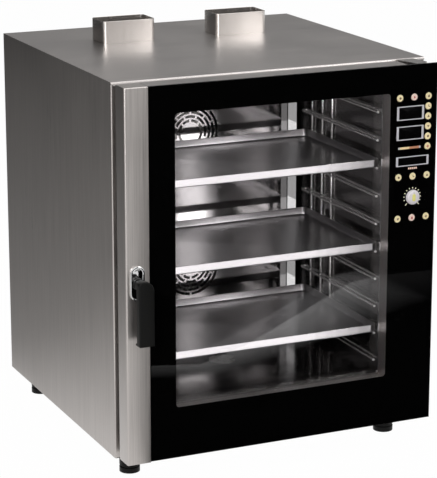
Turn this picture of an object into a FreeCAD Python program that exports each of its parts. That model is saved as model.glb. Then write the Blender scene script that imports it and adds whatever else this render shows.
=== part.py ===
import FreeCAD, Part
import math
import os
import re

import Sketcher

# A free-standing combi oven with a glazed swing door, tray racks, two fans and a control panel in the door.
# Millimetres. +Z is up and Z = 0 is the floor, the front faces -Y, X = 0 is the middle of the cabinet.

SIZES = {
    # cabinet shell, built outwards from the cavity
    "cavity_side_space": 87.5,
    "cavity_roof_space": 55,
    "cavity_floor_rise": 105,
    "motor_space": 180,
    "panel_gauge": 1.5,
    "panel_clearance": 0.3,
    "visor_reach": 20,
    "visor_drop": 5,
    # feet
    "foot_height": 60,
    "foot_radius": 25,
    "foot_inset": 60,
    "foot_rib_height": 12,
    "foot_groove_height": 6,
    "foot_groove_depth": 3,
    "foot_stud_radius": 5,
    "foot_stud_length": 16,
    # cavity, built outwards from the trays, and its front opening
    "tray_side_gap": 20,
    "rail_floor_gap": 40,
    "rail_roof_gap": 75,
    "baffle_tray_gap": 69,
    "fan_chamber_depth": 88,
    "opening_side_inset": 12,
    "opening_inset": 8,
    "opening_rim_depth": 16,
    "insulation_gauge": 40,
    "insulation_roof_gauge": 30,
    "insulation_margin": 12,
    # vent chimneys
    "chimney_width": 142,
    "chimney_depth": 84,
    "chimney_height": 56,
    "chimney_corner": 20,
    "chimney_wall": 1.5,
    "chimney_rear_gap": 1,
    "chimney_left_offset": 163,
    "chimney_right_offset": 148,
    # fan baffle and its round grilles
    "baffle_side_gap": 25,
    "baffle_flange": 34,
    "baffle_end_gap": 8,
    "baffle_stud_radius": 5,
    "baffle_stud_side_inset": 31,
    "baffle_stud_inset": 40,
    "slot_first_radius": 27.5,
    "slot_width": 7,
    "slot_pitch": 11,
    "slot_bridge": 5,
    # fans and motors
    "fan_lower_rise": 302,
    "fan_spacing": 358,
    "wheel_radius": 130,
    "wheel_inlet_radius": 88,
    "wheel_blade_radius": 70,
    "wheel_gauge": 2,
    "wheel_back_gap": 18,
    "blade_depth": 42,
    "blade_count": 24,
    "hub_radius": 20,
    "hub_length": 30,
    "shaft_radius": 8,
    "shaft_fit": 0.05,
    "shaft_wall_gap": 4,
    "shaft_engagement": 70,
    "motor_radius": 60,
    "motor_length": 105,
    "motor_standoff": 25,
    "motor_flange_half": 70,
    "motor_flange_gauge": 4,
    "motor_stud_radius": 5,
    "motor_stud_offset": 58,
    # heating elements
    "heater_tube_radius": 4,
    "heater_elbow_radius": 4.6,
    "heater_pin_radius": 3.4,
    "heater_first_radius": 144,
    "heater_pitch": 11,
    "heater_back_gap": 24,
    "heater_gap_angle": 20,
    "heater_leg_reach": 30,
    "heater_clearance": 0.5,
    # tray racks
    "rail_pitch": 70,
    "rail_wire_radius": 3,
    "rail_width": 16,
    "rail_setback": 22,
    "rail_length": 410,
    "post_radius": 3.5,
    "post_end_gap": 25,
    "post_front_setback": 34,
    "post_middle_setback": 305,
    "post_inner_setback": 358,
    "post_rear_setback": 416,
    "wall_seat_gap": 0.3,
    "wire_gap": 0.05,
    # baking trays
    "tray_width": 600,
    "tray_depth": 400,
    "tray_height": 20,
    "tray_gauge": 1.2,
    "tray_corner": 14,
    "tray_setback": 18,
    # door
    "door_gap": 26,
    "door_thickness": 54,
    "door_lift": 8.5,
    "door_inset": 8,
    "strip_width": 59,
    "outer_glass_gauge": 5,
    "border_gauge": 0.6,
    "inner_glass_gauge": 5,
    "glass_bottom_gap": 2.5,
    "glass_joint": 0.3,
    "window_left_margin": 66,
    "window_right_margin": 125,
    "window_top_drop": 67,
    "window_rise": 125.5,
    "window_corner": 8,
    "housing_margin": 4,
    "door_rail_margin": 8,
    "door_lip": 3,
    "gasket_width": 18,
    "gasket_offset": 1,
    "gasket_clearance": 0.3,
    # door hinges
    "pivot_inset": 36,
    "pivot_depth": 24,
    "plate_gauge": 6,
    "plate_drop": 1,
    "plate_half": 20,
    "plate_spread": 36,
    "plate_taper": 8,
    "hinge_flange_height": 44,
    "hinge_flange_gauge": 4,
    "hinge_notch_width": 45,
    "hinge_notch_depth": 14,
    "hinge_block_height": 38,
    "pin_radius": 6,
    "pin_fit": 0.05,
    "pin_length": 28,
    "pin_end_gap": 2,
    "pin_collar_radius": 11,
    "pin_collar_gap": 0.3,
    # handle and latch
    "handle_inset": 27,
    "handle_rise": 441.5,
    "rosette_width": 36,
    "rosette_height": 83,
    "rosette_gauge": 6,
    "lever_standoff": 32,
    "lever_thickness": 18,
    "lever_width": 38,
    "lever_offset": 4.5,
    "lever_above": 15,
    "lever_below": 140,
    "lever_corner": 8,
    "lever_shoulder": 24,
    "lever_lip_reach": 9,
    "lever_lip_height": 4,
    "lever_boss_radius": 14,
    "lever_gap": 0.3,
    "spindle_radius": 6,
    "spindle_fit": 0.05,
    "spindle_seat": 10,
    "nose_radius": 8,
    "nose_reach": 22,
    "nose_gap": 0.5,
    "keeper_width": 36,
    "keeper_height": 44,
    "keeper_depth": 14,
    "keeper_clearance": 2.5,
    # push buttons, knob and control board
    "key_radius": 8.5,
    "key_clearance": 0.3,
    "key_proud": 1.5,
    "key_travel": 1,
    "key_flange_radius": 10,
    "key_flange_gauge": 1.5,
    "key_stem_radius": 2.5,
    "key_stem_length": 4.5,
    "key_right_inset": 23.5,
    "key_column_pitch": 38.9,
    "key_pitch": 24.5,
    "key_top_drop": 79.3,
    "knob_drop": 324.1,
    "knob_row_gap": 51.4,
    "knob_radius": 18,
    "knob_height": 9,
    "knob_crown_inset": 3,
    "knob_gap": 0.6,
    "knob_shaft_radius": 3,
    "knob_shaft_length": 13.5,
    "encoder_half": 7,
    "encoder_height": 8,
    "switch_radius": 3,
    "board_gauge": 1.6,
    "board_margin": 3,
    "board_overlap": 20,
    "board_post_radius": 3,
    "board_post_inset": 8,
    "display_right_inset": 108.9,
    "display_width": 73.6,
    "display_height": 34,
    "display_upper_drop": 119.6,
    "display_lower_drop": 168.2,
    "display_wide_width": 89,
    "display_wide_height": 23.7,
    "display_wide_drop": 237.3,
    # drain, water inlet and cable gland
    "drain_radius": 20,
    "drain_wall": 1.5,
    "drain_shoulder": 1,
    "drain_bend": 32,
    "drain_rise": 45,
    "drain_setback": 290,
    "drain_reach": 40,
    "strainer_radius": 34,
    "strainer_gauge": 2,
    "strainer_hole_radius": 3,
    "strainer_hole_circle": 13,
    "service_rise": 120,
    "service_inset": 107.5,
    "inlet_radius": 13.2,
    "inlet_bore_radius": 9,
    "inlet_reach": 28,
    "inlet_nut_radius": 18,
    "inlet_nut_length": 8,
    "inlet_body_radius": 16,
    "inlet_body_length": 40,
    "gland_radius": 12.5,
    "gland_bore_radius": 8,
    "gland_nut_radius": 18,
    "gland_nut_length": 7,
    "gland_dome_radius": 14,
    "gland_reach": 26,
}

RAIL_LEVELS = 10
TRAY_LEVELS = {"tray_lower": 1, "tray_middle": 4, "tray_upper": 7}
SLOT_RINGS = 5
BRIDGE_BARS = 4
HEATER_TURNS = 3
SIDE_KEYS = 6
KEY_COLUMNS = 3
STRAINER_HOLES = 8
OVERCUT = 1
FINE = 0.001

# sizes that follow from the trays and the spaces round them
DERIVED = {
    "cavity_width": "(tray_width + 2 * tray_side_gap)",
    "cavity_height": f"(rail_floor_gap + {RAIL_LEVELS - 1} * rail_pitch + rail_roof_gap)",
    "baffle_setback": "(tray_setback + tray_depth + baffle_tray_gap)",
    "cavity_depth": "(baffle_setback + fan_chamber_depth)",
    "cabinet_width": "(cavity_width + 2 * cavity_side_space)",
    "cabinet_height": "(cavity_floor_rise + cavity_height + cavity_roof_space)",
    "cabinet_depth": "(cavity_depth + motor_space)",
    "opening_width": "(cavity_width - 2 * opening_side_inset)",
    "baffle_half_width": "(cavity_width / 2 - baffle_side_gap - baffle_flange)",
    "baffle_stud_offset": "(baffle_half_width - baffle_stud_side_inset)",
    "rail_first_rise": "(cavity_floor_rise + rail_floor_gap)",
    "service_offset": "(cabinet_width / 2 - service_inset)",
}

# places worked out from the sizes, as expressions
LEFT = "(-cabinet_width / 2)"
RIGHT = "(cabinet_width / 2)"
FRONT = "((door_gap + door_thickness + lever_standoff + lever_thickness - cabinet_depth - drain_reach) / 2)"
REAR = f"({FRONT} + cabinet_depth)"
UNDER = "foot_height"
TOP = "(foot_height + cabinet_height)"
TOP_INSIDE = f"({TOP} - panel_gauge)"
CAVITY_RIGHT = "(cavity_width / 2)"
CAVITY_LEFT = "(-cavity_width / 2)"
CAVITY_FRONT = f"({FRONT} + panel_gauge)"
CAVITY_REAR = f"({FRONT} + cavity_depth)"
CAVITY_FLOOR = "(foot_height + cavity_floor_rise)"
CAVITY_ROOF = f"({CAVITY_FLOOR} + cavity_height)"
OPENING_LEFT = "(-opening_width / 2)"
OPENING_RIGHT = "(opening_width / 2)"
OPENING_BOTTOM = f"({CAVITY_FLOOR} + opening_inset)"
OPENING_TOP = f"({CAVITY_ROOF} - opening_inset)"
CHIMNEY_REAR = f"({CAVITY_REAR} - chimney_rear_gap)"
CHIMNEY_FRONT = f"({CHIMNEY_REAR} - chimney_depth)"
CHIMNEY_CENTRES = {"left": "(-chimney_left_offset)", "right": "(chimney_right_offset)"}
BAFFLE = f"({FRONT} + baffle_setback)"
FANS = {"lower": f"({UNDER} + fan_lower_rise)", "upper": f"({UNDER} + fan_lower_rise + fan_spacing)"}
WHEEL_BACK = f"({CAVITY_REAR} - wheel_back_gap)"
MOTOR_FLANGE = f"({CAVITY_REAR} + panel_gauge + motor_standoff)"
MOTOR_FRONT = f"({MOTOR_FLANGE} + motor_flange_gauge)"
OUTER_WIRE = f"({CAVITY_RIGHT} - wall_seat_gap - 2 * post_radius - wire_gap - rail_wire_radius)"
RAIL_FRONT = f"({FRONT} + rail_setback)"
RAIL_BOW = f"({RAIL_FRONT} + rail_length - rail_width / 2 - rail_wire_radius)"
DOOR_BACK = f"({FRONT} - door_gap)"
DOOR_FRONT = f"({DOOR_BACK} - door_thickness)"
DOOR_BOTTOM = "(foot_height + door_lift)"
DOOR_RIGHT = f"({RIGHT} - door_inset)"
STRIP_RIGHT = f"({LEFT} + strip_width)"
GLASS_BACK = f"({DOOR_FRONT} + outer_glass_gauge)"
BORDER_BACK = f"({GLASS_BACK} + border_gauge)"
INNER_GLASS = f"({DOOR_BACK} - inner_glass_gauge)"
WINDOW_LEFT = f"({STRIP_RIGHT} + window_left_margin)"
WINDOW_RIGHT = f"({DOOR_RIGHT} - window_right_margin)"
WINDOW_BOTTOM = f"({DOOR_BOTTOM} + window_rise)"
WINDOW_TOP = f"({TOP} - window_top_drop)"
HOUSING_LEFT = f"({WINDOW_RIGHT} + housing_margin)"
PIVOT_X = f"({DOOR_RIGHT} - pivot_inset)"
PIVOT_Y = f"({DOOR_BACK} - pivot_depth)"
PLATE_REACH = "(door_gap + pivot_depth)"
NOTCH_LEFT = f"({PIVOT_X} - hinge_notch_width)"
NOTCH_FLOOR = f"({TOP} - hinge_notch_depth)"
NOTCH_ROOF = f"({DOOR_BOTTOM} + hinge_notch_depth)"
HANDLE_X = f"({LEFT} + handle_inset)"
LEVER_X = f"({HANDLE_X} + lever_offset)"
HANDLE_Z = f"({DOOR_BOTTOM} + handle_rise)"
LEVER_BACK = f"({DOOR_FRONT} - lever_standoff)"
LEVER_FRONT = f"({LEVER_BACK} - lever_thickness)"
ROSETTE_FRONT = f"({DOOR_FRONT} - rosette_gauge)"
KEY_FLANGE = f"({BORDER_BACK} + key_clearance)"
KEY_END = f"({KEY_FLANGE} + key_flange_gauge + key_stem_length)"
SWITCH_FRONT = f"({KEY_END} + key_travel + key_clearance)"
BOARD_FRONT = f"({SWITCH_FRONT} + switch_radius)"
BOARD_BACK = f"({BOARD_FRONT} + board_gauge)"
KEY_TOP = f"({TOP} - key_top_drop)"
KNOB_X = f"({DOOR_RIGHT} - key_right_inset - key_column_pitch)"
KNOB_Z = f"({TOP} - knob_drop)"
DRAIN_PIPE = "(drain_radius - drain_shoulder)"
DRAIN_BORE = f"({DRAIN_PIPE} - drain_wall)"
DRAIN_Y = f"({FRONT} + drain_setback)"
DRAIN_Z = f"({UNDER} + drain_rise)"
SERVICE_Z = f"({UNDER} + service_rise)"

UP = FreeCAD.Rotation()
TO_FRONT = FreeCAD.Rotation(FreeCAD.Vector(1, 0, 0), 90)
TO_REAR = FreeCAD.Rotation(FreeCAD.Vector(1, 0, 0), -90)
TO_RIGHT = FreeCAD.Rotation(FreeCAD.Vector(1, 1, 1), 120)
BEND_TO_REAR = FreeCAD.Rotation(FreeCAD.Vector(0, 1, 0), 90) * FreeCAD.Rotation(FreeCAD.Vector(0, 0, 1), -90)

doc = FreeCAD.newDocument("combi_oven")
subparts = []


def fill_sheet():
    """Write every driving size into the sheet under its own alias."""
    sheet = doc.addObject("Spreadsheet::Sheet", "Sizes")
    for row, (alias, value) in enumerate(SIZES.items(), start=1):
        sheet.set(f"A{row}", alias)
        sheet.set(f"B{row}", str(value))
        sheet.setAlias(f"B{row}", alias)
    doc.recompute()


def bound(text):
    """Point each size named in an expression at its cell, and write out those that follow from others."""
    def meaning(word):
        if word[0] in DERIVED:
            return bound(DERIVED[word[0]])
        return f"Sizes.{word[0]}" if word[0] in SIZES else word[0]

    return re.sub(r"[a-z][a-z_]*", meaning, text)


def bind(item, path, text):
    item.setExpression(path, bound(text))


def place(item, x, y, z, turn=UP):
    item.Placement = FreeCAD.Placement(FreeCAD.Vector(), turn)
    for axis, text in zip("xyz", (x, y, z)):
        bind(item, f"Placement.Base.{axis}", text)


def span(limits):
    return f"({limits[1]}) - ({limits[0]})"


def around(centre, half):
    return f"({centre}) - ({half})", f"({centre}) + ({half})"


def keep(item):
    """Hand in an object as one sub-part."""
    subparts.append(item)
    return item


def box(name, x, y, z):
    item = doc.addObject("Part::Box", name)
    for side, limits in zip(("Length", "Width", "Height"), (x, y, z)):
        bind(item, side, span(limits))
    place(item, x[0], y[0], z[0])
    return item


def rod(name, radius, length, at, turn=UP):
    item = doc.addObject("Part::Cylinder", name)
    bind(item, "Radius", radius)
    bind(item, "Height", length)
    place(item, *at, turn)
    return item


def group(name, items):
    item = doc.addObject("Part::Compound", name)
    item.Links = list(items)
    return item


def fuse(name, *items):
    item = doc.addObject("Part::MultiFuse", name)
    item.Shapes = list(items)
    return item


def cut(name, base, *tools):
    item = doc.addObject("Part::Cut", name)
    item.Base = base
    item.Tool = tools[0] if len(tools) == 1 else group(name + "_tools", tools)
    return item


def sketch_on(body, name, role):
    sketch = body.newObject("Sketcher::SketchObject", name)
    plane = next(feature for feature in body.Origin.OriginFeatures if feature.Role == role)
    sketch.AttachmentSupport = [(plane, "")]
    sketch.MapMode = "FlatFace"
    return sketch


def outline(sketch, corners):
    """Draw a closed outline whose corners are each tied to a pair of expressions."""
    count = len(corners)
    turns = [2 * math.pi * index / count for index in range(count)]
    start = [FreeCAD.Vector(math.cos(turn), math.sin(turn), 0) for turn in turns]
    for index in range(count):
        sketch.addGeometry(Part.LineSegment(start[index], start[(index + 1) % count]))
    for index in range(count):
        sketch.addConstraint(Sketcher.Constraint("Coincident", index, 2, (index + 1) % count, 1))
    for index, (across, along) in enumerate(corners):
        for kind, text, now in (("DistanceX", across, start[index].x), ("DistanceY", along, start[index].y)):
            constraint = sketch.addConstraint(Sketcher.Constraint(kind, -1, 1, index, 1, now))
            bind(sketch, f"Constraints[{constraint}]", text)


def padded(body, name, corners, length):
    sketch = sketch_on(body, name + "_outline", "XY_Plane")
    outline(sketch, corners)
    pad = body.newObject("PartDesign::Pad", name + "_pad")
    pad.Profile = sketch
    bind(pad, "Length", length)
    return pad


def revolved(body, name, profile):
    sketch = sketch_on(body, name + "_profile", "XZ_Plane")
    outline(sketch, profile)
    turn = body.newObject("PartDesign::Revolution", name + "_turn")
    turn.Profile = sketch
    turn.ReferenceAxis = (sketch, ["V_Axis"])
    turn.Angle = 360
    return turn


def turned(name, profile, at, turn=UP):
    """A piece turned about its own Z axis, from (radius, height) corners."""
    body = doc.addObject("PartDesign::Body", name)
    revolved(body, name, profile)
    place(body, *at, turn)
    return body


def prism(name, corners, length, at, turn=UP):
    """An outline extruded along its own Z axis."""
    body = doc.addObject("PartDesign::Body", name)
    padded(body, name, corners, length)
    place(body, *at, turn)
    return body


def long_edges(shape, corners=None):
    """The straight edges along Z by name, all of them or those that stand at the given (x, y) corners."""
    def apart(one, other):
        return math.hypot(one[0] - other[0], one[1] - other[1])

    names = []
    for index, edge in enumerate(shape.Edges, start=1):
        start, end = [(vertex.X, vertex.Y) for vertex in (edge.Vertexes[0], edge.Vertexes[-1])]
        upright = apart(start, end) < FINE
        if upright and (corners is None or any(apart(start, corner) < FINE for corner in corners)):
            names.append(f"Edge{index}")
    return names


def rounded_bar(name, x, y, z, radius, along="Z"):
    """A bar with its four long edges rounded, standing along Z or lying along Y."""
    body = doc.addObject("PartDesign::Body", name)
    width = span(x)
    height = span(y) if along == "Z" else span(z)
    length = span(z) if along == "Z" else span(y)
    pad = padded(body, name, [("0", "0"), (width, "0"), (width, height), ("0", height)], length)
    doc.recompute()
    fillet = body.newObject("PartDesign::Fillet", name + "_fillet")
    fillet.Base = (pad, long_edges(pad.Shape))
    bind(fillet, "Radius", radius)
    if along == "Z":
        place(body, x[0], y[0], z[0])
    else:
        place(body, x[0], y[1], z[0], TO_FRONT)
    return body


def chimney_bar(name, side, grow, z):
    """The chimney's upright outline, grown outwards or, where negative, inwards."""
    x = around(CHIMNEY_CENTRES[side], f"chimney_width / 2 + {grow}")
    y = (f"{CHIMNEY_FRONT} - ({grow})", f"{CHIMNEY_REAR} + {grow}")
    return rounded_bar(name, x, y, z, f"chimney_corner + {grow}")


def foot_centres():
    for side, x in (("left", f"{LEFT} + foot_inset"), ("right", f"{RIGHT} - foot_inset")):
        for end, y in (("front", f"{FRONT} + foot_inset"), ("rear", f"{REAR} - foot_inset")):
            yield f"{end}_{side}", x, y


def cabinet_panels():
    keep(box("left_panel", (LEFT, f"{LEFT} + panel_gauge"), (FRONT, REAR), (UNDER, TOP_INSIDE)))
    keep(box("right_panel", (f"{RIGHT} - panel_gauge", RIGHT), (FRONT, REAR), (UNDER, TOP_INSIDE)))
    between = (f"{LEFT} + panel_gauge", f"{RIGHT} - panel_gauge")

    top_sheet = box("top_panel_sheet", (LEFT, RIGHT), (FRONT, REAR), (TOP_INSIDE, TOP))
    through_top = (f"{TOP_INSIDE} - {OVERCUT}", f"{TOP} + {OVERCUT}")
    holes = [chimney_bar(f"top_hole_{side}", side, "panel_clearance", through_top)
             for side in CHIMNEY_CENTRES]
    visor_section = [
        ("0", "0"),
        ("0", "-panel_gauge"),
        ("-visor_reach", "-visor_drop - panel_gauge"),
        ("-visor_reach", "-visor_drop"),
    ]
    visor = prism("top_panel_visor", visor_section, f"{NOTCH_LEFT} - ({LEFT})", (LEFT, FRONT, TOP), TO_RIGHT)
    keep(fuse("top_panel", cut("top_panel_sheet_pierced", top_sheet, *holes), visor))

    base_sheet = box("base_panel_sheet", between, (FRONT, REAR), (UNDER, f"{UNDER} + panel_gauge"))
    stud_holes = [
        rod(f"stud_hole_{place_name}", "foot_stud_radius + panel_clearance", f"panel_gauge + 2 * {OVERCUT}",
            (x, y, f"{UNDER} - {OVERCUT}"))
        for place_name, x, y in foot_centres()
    ]
    keep(cut("base_panel", base_sheet, *stud_holes))

    back_sheet = box("back_panel_sheet", between, (f"{REAR} - panel_gauge", REAR),
                     (f"{UNDER} + panel_gauge", TOP_INSIDE))
    services = {
        "drain": (DRAIN_PIPE, "0", DRAIN_Z),
        "inlet": ("inlet_radius", "-service_offset", SERVICE_Z),
        "gland": ("gland_radius", "service_offset", SERVICE_Z),
    }
    service_holes = [
        rod(f"back_hole_{service}", f"{radius} + panel_clearance", f"panel_gauge + 2 * {OVERCUT}",
            (x, f"{REAR} + {OVERCUT}", z), TO_FRONT)
        for service, (radius, x, z) in services.items()
    ]
    keep(cut("back_panel", back_sheet, *service_holes))

    face = box("front_frame_face", between, (FRONT, f"{FRONT} + panel_gauge"),
               (f"{UNDER} + panel_gauge", TOP_INSIDE))
    rim = box("front_frame_rim", (f"{OPENING_LEFT} - panel_gauge", f"{OPENING_RIGHT} + panel_gauge"),
              (FRONT, f"{FRONT} + opening_rim_depth"),
              (f"{OPENING_BOTTOM} - panel_gauge", f"{OPENING_TOP} + panel_gauge"))
    opening = box("front_frame_opening", (OPENING_LEFT, OPENING_RIGHT),
                  (f"{FRONT} - {OVERCUT}", f"{FRONT} + opening_rim_depth + {OVERCUT}"),
                  (OPENING_BOTTOM, OPENING_TOP))
    keep(cut("front_frame", fuse("front_frame_blank", face, rim), opening))


def feet():
    feet_turned = []
    groove = "foot_radius - foot_groove_depth"
    for place_name, x, y in foot_centres():
        profile = [("0", "0"), ("foot_radius", "0")]
        for rib in range(1, 3):
            rib_top = f"{rib} * foot_rib_height + {rib - 1} * foot_groove_height"
            profile += [
                ("foot_radius", rib_top),
                (groove, rib_top),
                (groove, f"{rib_top} + foot_groove_height"),
                ("foot_radius", f"{rib_top} + foot_groove_height"),
            ]
        profile += [
            ("foot_radius", "foot_height - foot_groove_depth"),
            (groove, "foot_height"),
            ("foot_stud_radius", "foot_height"),
            ("foot_stud_radius", "foot_height + foot_stud_length"),
            ("0", "foot_height + foot_stud_length"),
        ]
        feet_turned.append(turned(f"foot_{place_name}", profile, (x, y, "0")))
    keep(group("feet", feet_turned))


def heater_legs(fan):
    """Where each turn of a fan's heating element passes through the rear wall."""
    for turn in range(HEATER_TURNS):
        radius = f"(heater_first_radius + {turn} * heater_pitch)"
        end_x = f"{radius} * cos(heater_gap_angle)"
        end_z = f"{FANS[fan]} - {radius} * sin(heater_gap_angle)"
        yield f"{fan}_{turn}_start", radius, FANS[fan]
        yield f"{fan}_{turn}_end", end_x, end_z


def cavity_walls():
    upright = (CAVITY_FLOOR, CAVITY_ROOF)
    depth = (CAVITY_FRONT, CAVITY_REAR)
    outside = (f"{CAVITY_LEFT} - panel_gauge", f"{CAVITY_RIGHT} + panel_gauge")
    sides = [
        box("cavity_wall_left", (f"{CAVITY_LEFT} - panel_gauge", CAVITY_LEFT), depth, upright),
        box("cavity_wall_right", (CAVITY_RIGHT, f"{CAVITY_RIGHT} + panel_gauge"), depth, upright),
    ]
    keep(group("cavity_side_walls", sides))

    floor_sheet = box("cavity_floor_sheet", outside, depth, (f"{CAVITY_FLOOR} - panel_gauge", CAVITY_FLOOR))
    drain_hole = rod("cavity_floor_hole", DRAIN_BORE, f"panel_gauge + 2 * {OVERCUT}",
                     ("0", DRAIN_Y, f"{CAVITY_FLOOR} - panel_gauge - {OVERCUT}"))
    keep(cut("cavity_floor", floor_sheet, drain_hole))

    roof_sheet = box("cavity_roof_sheet", outside, depth, (CAVITY_ROOF, f"{CAVITY_ROOF} + panel_gauge"))
    through_roof = (f"{CAVITY_ROOF} - {OVERCUT}", f"{CAVITY_ROOF} + panel_gauge + {OVERCUT}")
    ducts = [chimney_bar(f"roof_hole_{side}", side, "(-chimney_wall)", through_roof)
             for side in CHIMNEY_CENTRES]
    keep(cut("cavity_roof", roof_sheet, *ducts))

    rear_sheet = box("cavity_rear_sheet", outside, (CAVITY_REAR, f"{CAVITY_REAR} + panel_gauge"),
                     (f"{CAVITY_FLOOR} - panel_gauge", f"{CAVITY_ROOF} + panel_gauge"))
    hole_length = f"panel_gauge + 2 * {OVERCUT}"
    hole_start = f"{CAVITY_REAR} + panel_gauge + {OVERCUT}"
    holes = []
    for fan, fan_z in FANS.items():
        holes.append(rod(f"rear_shaft_hole_{fan}", "shaft_radius + shaft_wall_gap", hole_length,
                         ("0", hole_start, fan_z), TO_FRONT))
        for leg, x, z in heater_legs(fan):
            holes.append(rod(f"rear_leg_hole_{leg}", "heater_pin_radius + heater_clearance", hole_length,
                             (x, hole_start, z), TO_FRONT))
    keep(cut("cavity_rear_wall", rear_sheet, *holes))


def insulation():
    """Mineral wool slabs that lie against the outside of the cavity."""
    depth = (f"{CAVITY_FRONT} + insulation_margin", CAVITY_REAR)
    upright = (CAVITY_FLOOR, CAVITY_ROOF)
    wall = f"{CAVITY_RIGHT} + panel_gauge"
    roof = f"{CAVITY_ROOF} + panel_gauge"
    floor = f"{CAVITY_FLOOR} - panel_gauge"
    drain_edge = "drain_radius + insulation_margin"
    below = (f"{floor} - insulation_gauge", floor)
    slabs = [
        box("wool_left", (f"-({wall}) - insulation_gauge", f"-({wall})"), depth, upright),
        box("wool_right", (wall, f"{wall} + insulation_gauge"), depth, upright),
        box("wool_roof", (CAVITY_LEFT, CAVITY_RIGHT), (depth[0], f"{CHIMNEY_FRONT} - insulation_margin"),
            (roof, f"{roof} + insulation_roof_gauge")),
        box("wool_floor_left", (CAVITY_LEFT, f"-({drain_edge})"), depth, below),
        box("wool_floor_right", (drain_edge, CAVITY_RIGHT), depth, below),
    ]
    keep(group("insulation", slabs))


def chimneys():
    tubes = []
    for side in CHIMNEY_CENTRES:
        stand = f"{CAVITY_ROOF} + panel_gauge"
        mouth = f"{TOP} + chimney_height"
        outer = chimney_bar(f"chimney_outer_{side}", side, "0", (stand, mouth))
        inner = chimney_bar(f"chimney_inner_{side}", side, "(-chimney_wall)",
                            (f"{stand} - {OVERCUT}", f"{mouth} + {OVERCUT}"))
        tubes.append(cut(f"chimney_{side}", outer, inner))
    keep(group("vent_chimneys", tubes))


def grille_slots(fan, fan_z, bridge):
    """Rings of arc slots about a fan's axis, with the bridges staggered from ring to ring."""
    step = 180 / BRIDGE_BARS
    rings = []
    for ring in range(SLOT_RINGS):
        inner_radius = f"slot_first_radius + {ring} * slot_pitch"
        start = ("0", f"{BAFFLE} + panel_gauge + {OVERCUT}", fan_z)
        length = f"panel_gauge + 2 * {OVERCUT}"
        outer = rod(f"slot_outer_{fan}_{ring}", f"{inner_radius} + slot_width", length, start, TO_FRONT)
        inner = rod(f"slot_inner_{fan}_{ring}", inner_radius, length, start, TO_FRONT)
        bars = []
        for bar in range(BRIDGE_BARS):
            spoke = group(f"slot_bar_{fan}_{ring}_{bar}", [bridge])
            angle = step * bar + step / 2 * (ring % 2)
            place(spoke, "0", BAFFLE, fan_z, FreeCAD.Rotation(FreeCAD.Vector(0, 1, 0), angle))
            bars.append(spoke)
        solid = fuse(f"slot_solid_{fan}_{ring}", inner, *bars)
        rings.append(cut(f"slot_ring_{fan}_{ring}", outer, solid))
    return rings


def fan_baffle():
    flat = "baffle_half_width"
    tip = "baffle_half_width + baffle_flange"
    tip_back = "baffle_flange + sqrt(2) * panel_gauge"
    fold_back = "baffle_half_width - (sqrt(2) - 1) * panel_gauge"
    corners = [
        (f"-({tip})", "baffle_flange"),
        (f"-({flat})", "0"),
        (flat, "0"),
        (tip, "baffle_flange"),
        (tip, tip_back),
        (fold_back, "panel_gauge"),
        (f"-({fold_back})", "panel_gauge"),
        (f"-({tip})", tip_back),
    ]
    bottom = f"{CAVITY_FLOOR} + baffle_end_gap"
    sheet = prism("fan_baffle_sheet", corners, "cavity_height - 2 * baffle_end_gap", ("0", BAFFLE, bottom))
    reach = f"slot_first_radius + {SLOT_RINGS} * slot_pitch"
    bridge = box("slot_bridge_bar", around("0", reach), around("0", f"panel_gauge + 3 * {OVERCUT}"),
                 around("0", "slot_bridge / 2"))
    slots = []
    for fan, fan_z in FANS.items():
        slots += grille_slots(fan, fan_z, bridge)
    stud_heights = {
        "low": f"{CAVITY_FLOOR} + baffle_stud_inset",
        "high": f"{CAVITY_ROOF} - baffle_stud_inset",
    }
    studs = []
    for side in (-1, 1):
        for end, z in stud_heights.items():
            studs.append(rod(f"baffle_stud_{side}_{end}", "baffle_stud_radius",
                             "cavity_depth - baffle_setback - panel_gauge / 2",
                             (f"{side} * baffle_stud_offset", f"{BAFFLE} + panel_gauge / 2", z), TO_REAR))
    keep(fuse("fan_baffle", cut("fan_baffle_slotted", sheet, *slots), *studs))


def fan_wheels():
    for fan, fan_z in FANS.items():
        name = f"fan_wheel_{fan}"
        wheel = doc.addObject("PartDesign::Body", name)
        revolved(wheel, f"{name}_hub", [
            ("shaft_radius", "0"),
            ("wheel_radius", "0"),
            ("wheel_radius", "wheel_gauge"),
            ("hub_radius", "wheel_gauge"),
            ("hub_radius", "hub_length"),
            ("shaft_radius", "hub_length"),
        ])
        blade = padded(wheel, f"{name}_blade", [
            ("wheel_blade_radius", "-wheel_gauge / 2"),
            ("wheel_radius - wheel_gauge", "-wheel_gauge / 2"),
            ("wheel_radius - wheel_gauge", "wheel_gauge / 2"),
            ("wheel_blade_radius", "wheel_gauge / 2"),
        ], "blade_depth + wheel_gauge")
        doc.recompute()
        blades = wheel.newObject("PartDesign::PolarPattern", f"{name}_blades")
        blades.Originals = [blade]
        blades.Axis = (blade.Profile[0], ["N_Axis"])
        blades.Angle = 360
        bind(blades, "Occurrences", "blade_count")
        wheel.Tip = blades
        doc.recompute()
        ring_bottom = "blade_depth"
        ring_top = "blade_depth + 2 * wheel_gauge"
        revolved(wheel, f"{name}_ring", [
            ("wheel_inlet_radius", ring_bottom),
            ("wheel_radius", ring_bottom),
            ("wheel_radius", ring_top),
            ("wheel_inlet_radius", ring_top),
        ])
        place(wheel, "0", WHEEL_BACK, fan_z, TO_FRONT)
        keep(wheel)

        shaft_length = f"{MOTOR_FRONT} + shaft_engagement - ({WHEEL_BACK} - hub_length)"
        keep(rod(f"motor_shaft_{fan}", "shaft_radius", shaft_length,
                 ("0", f"{MOTOR_FRONT} + shaft_engagement", fan_z), TO_FRONT))


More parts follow.
